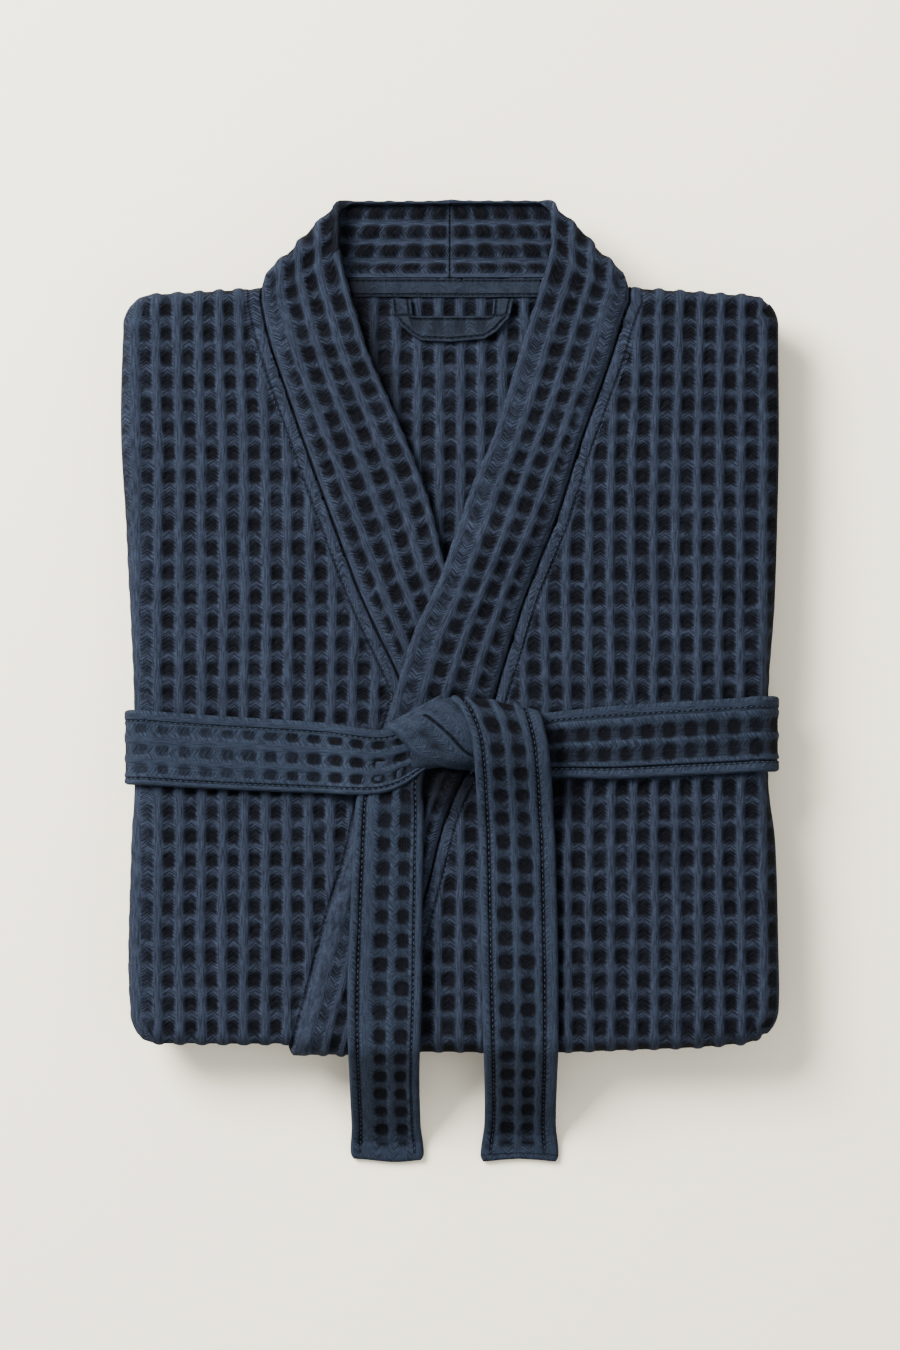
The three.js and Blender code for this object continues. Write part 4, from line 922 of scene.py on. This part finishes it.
# The turn of belt over the knot, by rows down it: its left and right edges and its height across.
KNOT_WRAP = table(
    "left_x left_y right_x right_y left_z middle_z right_z",
    (-34.5, -25.5, -6, -10, 47.5, 48, 45),
    (-29, -27.5, 0, -10.2, 51, 52.6, 47.2),
    (-24.5, -32.5, 6, -15.5, 51.8, 55, 51),
    (-16.3, -40.1, 11.5, -23, 51.2, 56, 54.5),
    (-2, -46, 14, -34, 49.5, 55, 54.5),
    (13, -48, 20, -43, 46, 51, 51.5),
)


def knot_core_place(u, v):
    share = np.clip(v / (len(KNOT_CORE["x"]) - 1), 0, 1)
    x, y, wide, high, base = read_row(KNOT_CORE, share)
    past = np.maximum(np.maximum(-v, v - len(KNOT_CORE["x"]) + 1), 0)
    full = np.sqrt(np.clip(1 - past**2, 0, 1))
    turn = 2 * np.pi * u
    up = (np.maximum(np.sin(turn), -0.35) + 0.35) / 1.35
    points = stack(x, y + wide / 2 * np.cos(turn) * full, base + high * (0.4 + (up - 0.4) * full))
    return points, stack(u * 8, v * 2, 0.6), UNSEWN


def knot_wrap_place(u, v):
    """u runs across the cloth from -1 to 2 and v down it from 0 to 6, with the outer parts turned under."""
    b, share = np.clip(u, 0, 1), np.clip(v - 0.5, 0, 5) / 5
    left_x, left_y, right_x, right_y, left_z, middle_z, right_z = read_row(KNOT_WRAP, share)
    x, y = lerp(left_x, right_x, b), lerp(left_y, right_y, b)
    z = lerp(left_z, right_z, b) + (middle_z - (left_z + right_z) / 2) * 4 * b * (1 - b)
    across_x, across_y = right_x - left_x, right_y - left_y
    width = np.hypot(across_x, across_y)
    side = np.where(u < 0, -1, 1)
    turn, curl = np.maximum(np.maximum(-u, u - 1), 0) * 2.3, 2.2
    x = x + side * across_x / width * curl * np.sin(turn)
    y = y + side * across_y / width * curl * np.sin(turn)
    z = z - curl * (1 - np.cos(turn)) * 1.4
    end = np.maximum(np.maximum(0.5 - v, v - 5.5), 0) * 2
    z = z - 4.0 * end**2
    y = y - 2.5 * np.sin(end * np.pi / 2) * np.where(v > 3, 1, -1)
    # One deep fold runs down the cloth, a little right of its middle, with a soft ridge beside it.
    down = share * 5
    fold = 0.58 + 0.1 * (down - 2.5) / 2.5
    along_fold = smooth(down, 0.5, 1.2) * (1 - smooth(down, 4.2, 4.9))
    off = (b - fold) * width
    z = z - 1.7 * bell(off, 0.8) * along_fold + 0.5 * bell(off - 3.2, 2) * along_fold
    z = z + 0.5 * noise(b * 3, down * 1.3, 41)
    # The fold line is drawn with the material's stitch groove. The colour is darker in the pleat and along the
    # fold, which is painted shade in these hollows. The small noise is tone that varies at random.
    stitch = np.where((down > 0.8) & (down < 4.6), off, OFF_STITCH)
    pleat = np.exp(-(((b - 0.3) / 0.1) ** 2) - ((down - 2.6) / 1.1) ** 2)
    tone_with_fold_shade = 0.88 - 0.5 * pleat - 0.5 * bell(off, 0.9) * along_fold + 0.14 * noise(b * 9, down * 4, 43)
    z = z - 0.5 * pleat
    return stack(x, y, z), stack(u * 3.5, v * 1.2, tone_with_fold_shade), stack(stitch, down * 9, NO_EDGE)


# ---- neck tape and hanger loop ----

TAPE = {"left": -56.0, "right": 50.5, "bottom": 213.6, "top": 224.2}
LOOP = table(
    "out_x out_y in_x in_y",
    (-32.6, 212.6, -21.4, 212.6),
    (-31.6, 203.8, -20.6, 205),
    (-27.2, 197.6, -20.4, 203.4),
    (-20.6, 192.1, -18.2, 203.2),
    (-15.6, 189.3, -14.5, 203.2),
    (0, 188.6, 0, 203.2),
    (19, 190.2, 17, 203.2),
    (26.1, 194.6, 21.5, 203.2),
    (33.3, 202.6, 23.4, 204),
    (35.4, 212.6, 24.2, 212.6),
)
LOOP_SHARES = np.array([0, 8.9, 15.5, 22.5, 27.6, 43, 61, 68, 78, 88.0])
LOOP_INSIDE, LOOP_STITCH = 203.2, 203.4


def tape_place(u, v):
    t = np.clip(v, 0, 1)
    x, y = lerp(TAPE["left"], TAPE["right"], u), lerp(TAPE["bottom"], TAPE["top"], t)
    y = y + 0.3 * noise(x / 20, v, 51)
    thick = TAPE_CLOTH * strap_edge(t)
    line = np.minimum(np.abs(y - TAPE["bottom"] - 1.5), np.abs(TAPE["top"] - 1.5 - y))
    z = pile_height(x, y, 0) + GAP + thick - 0.5 * bell(line, 0.5) + 0.2 * noise(x / 9, y / 5, 52)
    # The tape's colour carries the painted shadow along the neck's right side.
    return stack(x, y, z), stack(x / 12, v, 0.8 * painted_shade(x, y)), stack(line, x, NO_EDGE)


def loop_place(u, v):
    t = strap_face(u)
    row = np.interp(v, LOOP_SHARES, np.arange(len(LOOP_SHARES)))
    i = np.clip(np.floor(row).astype(int), 0, len(LOOP_SHARES) - 2)
    out_x, out_y, in_x, in_y = (lerp(LOOP[key][i], LOOP[key][i + 1], row - i) for key in LOOP)
    x, y = lerp(out_x, in_x, t), lerp(out_y, in_y, t)
    width = np.hypot(in_x - out_x, in_y - out_y)
    line = np.minimum(np.abs(t * width - 2), np.abs((1 - t) * width - 2))
    line = np.minimum(line, np.abs(y - LOOP_STITCH) + OFF_STITCH * ((v > 15.5) & (v < 68)))
    base = pile_height(0, LOOP_INSIDE, 0) + GAP
    cells = (1 - waffle((x + 24) / 12, t * 0.9, 62)) * (1 - smooth(np.abs(x), 22, 24))
    face = LOOP_CLOTH - 0.6 * bell(line, 0.6) + 0.3 * noise(v / 8, t * 2, 61) - 0.6 * cells
    half = LOOP_CLOTH / 2
    lift = half + np.where(u <= 1, face - half, -half) * strap_edge(t)
    return stack(x, y, base + lift), stack(v / 12, t, 0.85 - 0.35 * cells), stack(line, v, NO_EDGE)


# ---- the folded layers below ----


def over_at(x, y):
    """How far the pile stands under the left front: 1 beneath it, 0 beside it."""
    return smooth(x - read(COLLAR_LEFT, "fold_y", y, "fold_x"), 40, 52)


# Round corners of a line that runs outside the pile: middle and direction at the start, and their radius.
RIM_CORNERS, RIM_TURN = ((163, -187, -90), (165, 200, 0), (-164, 200, 90), (-161, -187, 180)), 40


def pile_rim():
    """Points outside the pile all the way round, from the middle of the hem side, and their arc lengths."""
    points = [(0, RIM_CORNERS[0][1] - RIM_TURN)]
    for x, y, start in RIM_CORNERS:
        turn = np.radians(np.linspace(start, start + 90, 7))
        points += zip(x + RIM_TURN * np.cos(turn), y + RIM_TURN * np.sin(turn))
    points = np.array([*points, points[0]])
    at, whole = np.arange(0, len(points) - 1, 0.02), np.arange(len(points))
    x, y = (np.interp(at, whole, values) for values in points.T)
    foot_x, foot_y, away_x, away_y, _ = edge_foot(x, y, 0)
    return x, y, run_length(foot_x + 3 * away_x, foot_y + 3 * away_y)


def rim_place(profile, seed, pit, wander):
    """Places a fold roll round the pile. profile gives, for v, the inset and share of the height."""
    rim_x, rim_y, lengths = pile_rim()
    count = round(lengths[-1] / CELL_ACROSS)

    def place(u, v):
        at = u / count * lengths[-1]
        x, y = np.interp(at, lengths, rim_x), np.interp(at, lengths, rim_y)
        over = over_at(x, y)
        foot_x, foot_y, away_x, away_y, _ = edge_foot(x, y, over)
        roll = roll_at(foot_y, over)
        # From here to the right the rolls lie under the left front too.
        lower = smooth(foot_x, -112, -92)
        high = pile_height(foot_x, foot_y, lower) - 2 * roll_at(foot_y, lower) - CLOTH - 2 * GAP
        inset, share, tilt = profile(v)
        # The layers end further in or out all the way round.
        turn = 2 * np.pi * u / count
        ragged = wander * (1.3 + 1.2 * np.sin(9 * turn + 1) + 0.6 * np.sin(23 * turn + 2))
        height = waffle(u, v * 2, seed)
        depth = pit * (1 - height)
        out = roll - inset - ragged - depth * np.cos(tilt)
        z = share * high - depth * np.sin(tilt)
        points = stack(foot_x + away_x * out, foot_y + away_y * out, np.maximum(z, 0.1))
        return points, stack(u, v * 2, height), UNSEWN

    return place, count


def fold_roll(centre, half, inset):
    """The round profile of a fold: the share of the height of its middle and half its height, and its inset."""

    def profile(v):
        tilt = (v - 0.5) * np.pi
        return inset + (1 - np.cos(tilt)) * FOLD_DEPTH, centre + half * np.sin(tilt), tilt

    return profile


def neck_profile(v):
    """The upright wall behind the fold rolls."""
    return ROLL + NECK + 0 * v, 0.9 + 0.35 * v, 0 * v


def pile_top_place(u, v):
    """Places the layer right under the fronts, which shows nowhere and only closes the pile."""
    over = over_at(u, v)
    foot_x, foot_y, away_x, away_y, past = edge_foot(u, v, over)
    out = np.minimum(past, 0.5)
    x, y = foot_x + away_x * out, foot_y + away_y * out
    z = pile_height(foot_x, foot_y, over) - 3.6
    return stack(x, y, z), stack(u / CELL_ACROSS, v / CELL_ALONG, 0.5), UNSEWN


def belt_edges(share):
    """The Y of the belt's two edges under the pile, by a share of the way from its left side to its right."""
    return (lerp(BELT_LEFT[edge][0], BELT_RIGHT[edge][-1], share) for edge in ("bottom", "top"))


def pile_under_place(seed, pit):
    """Places the underside, with a groove in which the belt lies."""

    def place(u, v):
        x, y = u * CELL_ACROSS, v * CELL_ALONG
        foot_x, foot_y, away_x, away_y, past = edge_foot(x, y, 0)
        out = np.minimum(past, ROLL - 4)
        x, y = foot_x + away_x * out, foot_y + away_y * out
        low, high = belt_edges(np.clip((x + BELT_SEAM) / (2 * BELT_SEAM), 0, 1))
        groove = smooth(y, low - 2.4, low - 0.8) * (1 - smooth(y, high + 0.8, high + 2.4))
        height = waffle(u, v, seed)
        z = UNDERSIDE + 4 * groove + pit * (1 - height)
        return stack(x, y, z), stack(u, v, height), UNSEWN

    return place


# ---- stitches ----


def stitches(bm, place, u, v):
    """Lays a row of stitches along a line of a placed cloth."""
    path = place(u, v)[0]
    run = np.concatenate([[0], np.cumsum(np.linalg.norm(np.diff(path, axis=0), axis=1))])
    for start in np.arange(STITCH_PITCH / 2, run[-1] - STITCH_PITCH / 2, STITCH_PITCH):
        ends = [Vector([np.interp(at, run, path[:, k]) for k in range(3)]) for at in (start, start + STITCH[0])]
        along = (ends[1] - ends[0]).normalized()
        turn = along.to_track_quat("X", "Z").to_matrix().to_4x4()
        middle = (ends[0] + ends[1]) / 2 + Vector((0, 0, STITCH_RISE))
        half_size = Matrix.Diagonal((*(side / 2 for side in STITCH), 1))
        matrix = Matrix.Scale(MM, 4) @ Matrix.Translation(middle) @ turn @ half_size
        bmesh.ops.create_icosphere(bm, subdivisions=1, radius=1, matrix=matrix)


# ---- settings ----


# The modelled skin of belt, tape and loop, in mm.
STRAP_WALL = 0.8


def size(name, description, value):
    return bpy.props.FloatProperty(name=name, description=description, default=value * MM, min=0,
                                   unit="LENGTH", precision=5)


def colour(name, description, hex_colour):
    return bpy.props.FloatVectorProperty(name=name, description=description, default=linear(hex_colour),
                                         subtype="COLOR", min=0, max=1)


class RobeSettings(bpy.types.PropertyGroup):
    front_relief: size("Front relief", "Depth of the cells of the fronts", 2.5)
    band_relief: size("Band relief", "Depth of the cells of the pressed collar band", 1.9)
    belt_relief: size("Belt relief", "Depth of the cells of the pressed belt", 1.5)
    shell: size("Cloth shell", "Thickness of the modelled skin of the cloth", 1.0)
    ridge: colour("Ridge", "Colour of the yarn on the ridges", "#1F242F")
    pit: colour("Cell", "Colour deep in the cells, where no light falls", "#08090D")
    belt_ridge: colour("Belt", "Colour of the pressed belt", "#1F2530")
    tape: colour("Tape", "Colour of the neck tape and hanger loop", "#1C212A")
    thread: colour("Thread", "Colour of the sewing thread", "#242A34")


class StageSettings(bpy.types.PropertyGroup):
    floor: colour("Floor", "Colour of the table top", "#FFF6DE")
    power: bpy.props.FloatProperty(name="Window light", description="Power of the big soft light", default=325,
                                   min=0, unit="POWER")
    sky: bpy.props.FloatProperty(name="Room light", description="Strength of the light from all round",
                                 default=1.0, min=0)


# ---- operators ----


def cloth_material(context, name):
    """The material of a piece, made once."""
    if name in bpy.data.materials:
        return bpy.data.materials[name]
    robe = context.scene.robe
    # The colour of the yarn, and how much its floats vary in light: less where they are pressed or twisted.
    ridge, streak = {
        "waffle cotton, loom state": (robe.ridge, 0.5),
        "waffle cotton, pressed flat": (robe.belt_ridge, 0.35),
        "cotton tape, twill": (robe.tape, 0.25),
        "cotton thread, twisted": (robe.thread, 0.2),
    }[name]
    return waffle_cotton(name, ridge, robe.pit, streak)


def millimetres(value):
    return value / MM


class ROBE_OT_folded_layers(bpy.types.Operator):
    """Build the hidden layers: the cloth under the fronts, the fold rolls round the edge and the underside"""

    bl_idname = "robe.folded_layers"
    bl_label = "Folded layers"

    def execute(self, context):
        robe = context.scene.robe
        shell = millimetres(robe.shell)
        material = cloth_material(context, "waffle cotton, loom state")
        pieces = []
        # Name, profile, how ragged and seed.
        rolls = (("fold_roll_middle", fold_roll(0.75, 0.24, 0.8), 1.0, 71),
                 ("fold_roll_lower", fold_roll(0.24, 0.25, 0.2), 0.0, 72))
        for name, profile, wander, seed in rolls:
            place, count = rim_place(profile, seed, 0.7 * millimetres(robe.front_relief), wander)
            lines = cell_lines(0, count, FEW_LINES)
            pieces.append(cloth_sheet(name, lines, cell_lines(0, 2, FEW_LINES) / 2, place, material, shell))
        place, count = rim_place(neck_profile, 73, 0, 0)
        lines = cell_lines(0, count, FEW_LINES[::3])
        pieces.append(cloth_sheet("fold_neck", lines, np.linspace(0, 1, 3), place, material, shell))
        across, along = np.arange(-180, 181, CELL_ACROSS), np.arange(-202, 222, CELL_ALONG)
        top = cloth_sheet("upper_layer", across, along, pile_top_place, material, shell)
        across, along = (cell_lines(*ends, FEW_LINES[::2]) for ends in ((-15, 15), (-16, 17)))
        under = cloth_sheet("underside", across, along, pile_under_place(74, 1.2), material, 0.6)
        for piece in (*pieces, top, under):
            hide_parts("folded_layers")
        return {"FINISHED"}


class ROBE_OT_fronts(bpy.types.Operator):
    """Build the two fronts, the wearer's left one lying over the right one"""

    bl_idname = "robe.fronts"
    bl_label = "Fronts"

    def execute(self, context):
        robe = context.scene.robe
        pit, shell = millimetres(robe.front_relief), millimetres(robe.shell)
        material = cloth_material(context, "waffle cotton, loom state")
        for name, (over, trim, side, seed, first, last) in FRONTS.items():
            place = front_place(over, trim, side, seed, pit)
            across, along = cell_lines(first, last, ACROSS_LINES), cell_lines(-3, 32)
            cloth_sheet(name + "_cloth", across, along, place, material, shell)
            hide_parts(name)
        return {"FINISHED"}


class ROBE_OT_back(bpy.types.Operator):
    """Build the inside of the back that shows in the neckline"""

    bl_idname = "robe.back"
    bl_label = "Back"

    def execute(self, context):
        robe = context.scene.robe
        ends = edge_line(COLLAR_RIGHT, "fold", -10.0), edge_line(COLLAR_LEFT, "fold", 10.0)
        place = back_place(31, millimetres(robe.front_relief), *ends)
        material = cloth_material(context, "waffle cotton, loom state")
        across, along = cell_lines(7, 19, ACROSS_LINES), cell_lines(17, 31)
        cloth = cloth_sheet("back_cloth", across, along, place, material, millimetres(robe.shell))
        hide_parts("back")
        return {"FINISHED"}


class ROBE_OT_collar(bpy.types.Operator):
    """Build the two halves of the collar band"""

    bl_idname = "robe.collar"
    bl_label = "Collar band"

    def execute(self, context):
        robe = context.scene.robe
        pit, shell = millimetres(robe.band_relief), millimetres(robe.shell)
        material = cloth_material(context, "waffle cotton, loom state")
        across = np.concatenate([np.arange(-8, 0) / 8, cell_lines(0, BAND_COLUMNS, ACROSS_LINES)])
        for name, (band, side, neck_fold, over, seed, length) in BANDS.items():
            place, count = collar_place(band, side, neck_fold, over, seed, pit)
            cloth = cloth_sheet(name + "_cloth", across, lines_to(count), place, material, shell, flip=side > 0)
            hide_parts(name)
        return {"FINISHED"}


class ROBE_OT_neck_finish(bpy.types.Operator):
    """Build the tape over the neck seam and the hanger loop"""

    bl_idname = "robe.neck_finish"
    bl_label = "Neck tape and hanger loop"

    def execute(self, context):
        material = cloth_material(context, "cotton tape, twill")
        across, along = np.linspace(0, 1, 80), np.linspace(0, 1, 24)
        tape = cloth_sheet("neck_tape_cloth", across, along, tape_place, material, STRAP_WALL)
        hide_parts("neck_tape")
        across = np.concatenate([np.linspace(0, 1, 31), 2 - np.linspace(1, 0, 8)[1:]])
        along = np.linspace(0, LOOP_SHARES[-1], 90)
        loop = cloth_sheet("hanger_loop_cloth", across, along, loop_place, material, STRAP_WALL, flip=True)
        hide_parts("hanger_loop")
        return {"FINISHED"}


def strap_pieces(pit):
    """Each strap that shows, by its CAD node: place function, count and length of its cells, how it is held."""
    belt, tail = (CELL_ACROSS, "stretched"), (CELL_ALONG, "draped")
    return {
        "belt_left": (*belt_place(BELT_LEFT, "belt_left", -1, 0, 101, pit), *belt),
        "belt_right": (*belt_place(BELT_RIGHT, "belt_right", 1, 1, 111, pit), *belt),
        "belt_tail_left": (*tail_place(TAIL_LEFT, "belt_tail_left", GAP + COLLAR_CLOTH, 0, 121, pit), *tail),
        "belt_tail_right": (*tail_place(TAIL_RIGHT, "belt_tail_right", GAP + CLOTH, 9, 131, pit), *tail),
    }


def under_place(u, v):
    t, half = strap_face(u), BELT_CLOTH / 2
    x, y = (v - 0.5) * 2 * (BELT_SEAM - GAP), lerp(*belt_edges(v), t)
    z = half + np.where(u <= 1, -half, half) * strap_edge(t)
    return stack(x, y, z), stack(t * 3.4, v * 23, 0.8), UNSEWN


class ROBE_OT_belt(bpy.types.Operator):
    """Build the belt round the bundle and its two tails"""

    bl_idname = "robe.belt"
    bl_label = "Belt and tails"

    def execute(self, context):
        robe = context.scene.robe
        pit = millimetres(robe.belt_relief)
        material = cloth_material(context, "waffle cotton, pressed flat")
        for name, (place, count, cell, held) in strap_pieces(pit).items():
            across, along = strap_lines(STRAPS[name]), lines_to(count)
            flip = name != "belt_left"
            cloth = cloth_sheet(name + "_cloth", across, along, place, material, STRAP_WALL, flip)
            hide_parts(name)
        across, along = strap_lines(STRAPS["belt_under"]), np.linspace(0, 1, 40)
        under = cloth_sheet("belt_under_cloth", across, along, under_place, material, STRAP_WALL)
        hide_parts("belt_under")
        return {"FINISHED"}


class ROBE_OT_knot(bpy.types.Operator):
    """Build the half knot: the filling and the turn of belt over it"""

    bl_idname = "robe.knot"
    bl_label = "Knot"

    def execute(self, context):
        material = cloth_material(context, "waffle cotton, pressed flat")
        rows, ends = len(KNOT_CORE["x"]) - 1, np.array([0.4, 0.7, 0.9, 1])
        along = np.concatenate([-ends[::-1], np.linspace(0, rows, rows * 5 + 1), rows + ends])
        across = np.linspace(0, 1, 33)
        core = cloth_sheet("belt_knot_core", across, along, knot_core_place, material, STRAP_WALL)
        across = np.concatenate([np.linspace(-1, 0, 9)[:-1], np.linspace(0, 1, 61), np.linspace(1, 2, 9)[1:]])
        along = np.linspace(0, 6, 73)
        wrapped = cloth_sheet("belt_knot_wrap", across, along, knot_wrap_place, material, 0.9, flip=True)
        for piece in (core, wrapped):
            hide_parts("belt_knot")
        return {"FINISHED"}


class ROBE_OT_stitches(bpy.types.Operator):
    """Sew the rows of stitches along the collar seams, the belt and its tails"""

    bl_idname = "robe.stitches"
    bl_label = "Stitches"

    def execute(self, context):
        robe = context.scene.robe
        bm = bmesh.new()
        for name, (place, count, cell, held) in strap_pieces(millimetres(robe.belt_relief)).items():
            lines, is_tail = STRAPS[name]["stitches"], held == "draped"
            v = np.linspace(0.4, count - 0.3, 160) if is_tail else np.linspace(0.2, count - 4, 120)
            for line in lines:
                stitches(bm, place, np.full_like(v, line), v)
            if is_tail:
                u = np.linspace(*lines, 30)
                stitches(bm, place, u, np.full_like(u, count - END_STITCH / cell))
        for name, low, high in (("front_right", -4, 196), ("front_left", -196, 190)):
            over, trim, side, seed, _, _ = FRONTS[name]
            place = front_place(over, trim, side, seed, millimetres(robe.front_relief))
            y = np.linspace(low, high, 200)
            slope = np.hypot(1, (trim(y + 1) - trim(y - 1)) / 2)
            x = trim(y) - side * TOPSTITCH * slope
            stitches(bm, place, (x - WEAVE_X) / CELL_ACROSS, (y - WEAVE_Y) / CELL_ALONG)
        mesh = mesh_from(bm, "stitches")
        write_attribute(mesh, "weave", np.full((len(mesh.vertices), 3), 0.8))
        write_attribute(mesh, "edge", np.full((len(mesh.vertices), 3), NO_EDGE))
        finish_piece("stitches", mesh, cloth_material(context, "cotton thread, twisted"))
        return {"FINISHED"}


# The lamps: name, place, width in metres and share of the window's power.
LAMPS = (("window", (-1.6, 1.5, 1.75), 1.4, 1.0), ("bounce", (1.6, -0.8, 2.0), 2.0, 0.05))
# Straight above the robe, with the lens in mm.
CAMERA_PLACE, CAMERA_LENS = (0, 0.00375, 2.836), 134.4


class ROBE_OT_stage(bpy.types.Operator):
    """Build the table top, the lights and the camera"""

    bl_idname = "robe.stage"
    bl_label = "Stage"

    def execute(self, context):
        stage = context.scene.stage
        bm = bmesh.new()
        bmesh.ops.create_grid(bm, x_segments=8, y_segments=8, size=3)
        mesh = mesh_from(bm, "table_top")
        mesh.materials.append(painted_floor("board, matt paint", stage.floor))
        top = bpy.data.objects.new("table_top", mesh)
        context.scene.collection.objects.link(top)
        for name, place, width, share in LAMPS:
            lamp = bpy.data.lights.new(name, "AREA")
            lamp.energy, lamp.size = stage.power * share, width
            light = bpy.data.objects.new(name, lamp)
            light.location = place
            light.rotation_euler = (-Vector(place)).to_track_quat("-Z", "Y").to_euler()
            context.scene.collection.objects.link(light)
        world = bpy.data.worlds.new("pale room")
        world.use_nodes = True
        background = world.node_tree.nodes["Background"]
        background.inputs["Color"].default_value = (*linear("#F4F5F7"), 1)
        background.inputs["Strength"].default_value = stage.sky
        context.scene.world = world
        lens = bpy.data.cameras.new("camera")
        lens.lens, lens.sensor_width, lens.clip_end = CAMERA_LENS, 36, 20
        camera = bpy.data.objects.new("camera", lens)
        camera.location = CAMERA_PLACE
        context.scene.collection.objects.link(camera)
        context.scene.camera = camera
        return {"FINISHED"}


OPERATORS = (
    ROBE_OT_folded_layers,
    ROBE_OT_fronts,
    ROBE_OT_back,
    ROBE_OT_collar,
    ROBE_OT_neck_finish,
    ROBE_OT_belt,
    ROBE_OT_knot,
    ROBE_OT_stitches,
    ROBE_OT_stage,
)


class ROBE_PT_panel(bpy.types.Panel):
    """Lists the robe's pieces in the order they are built"""

    bl_idname = "ROBE_PT_panel"
    bl_label = "Folded robe"
    bl_space_type = "VIEW_3D"
    bl_region_type = "UI"
    bl_category = "Robe"

    def draw(self, context):
        for settings in (context.scene.robe, context.scene.stage):
            for key in settings.__annotations__:
                self.layout.prop(settings, key)
        for operator in OPERATORS:
            self.layout.operator(operator.bl_idname)


CLASSES = (RobeSettings, StageSettings, *OPERATORS, ROBE_PT_panel)


def register():
    for cls in CLASSES:
        bpy.utils.register_class(cls)
    bpy.types.Scene.robe = bpy.props.PointerProperty(type=RobeSettings)
    bpy.types.Scene.stage = bpy.props.PointerProperty(type=StageSettings)


def unregister():
    del bpy.types.Scene.stage
    del bpy.types.Scene.robe
    for cls in reversed(CLASSES):
        bpy.utils.unregister_class(cls)


def main():
    register()
    for operator in OPERATORS:
        group, name = operator.bl_idname.split(".")
        getattr(getattr(bpy.ops, group), name)()


if __name__ == "__main__":
    main()
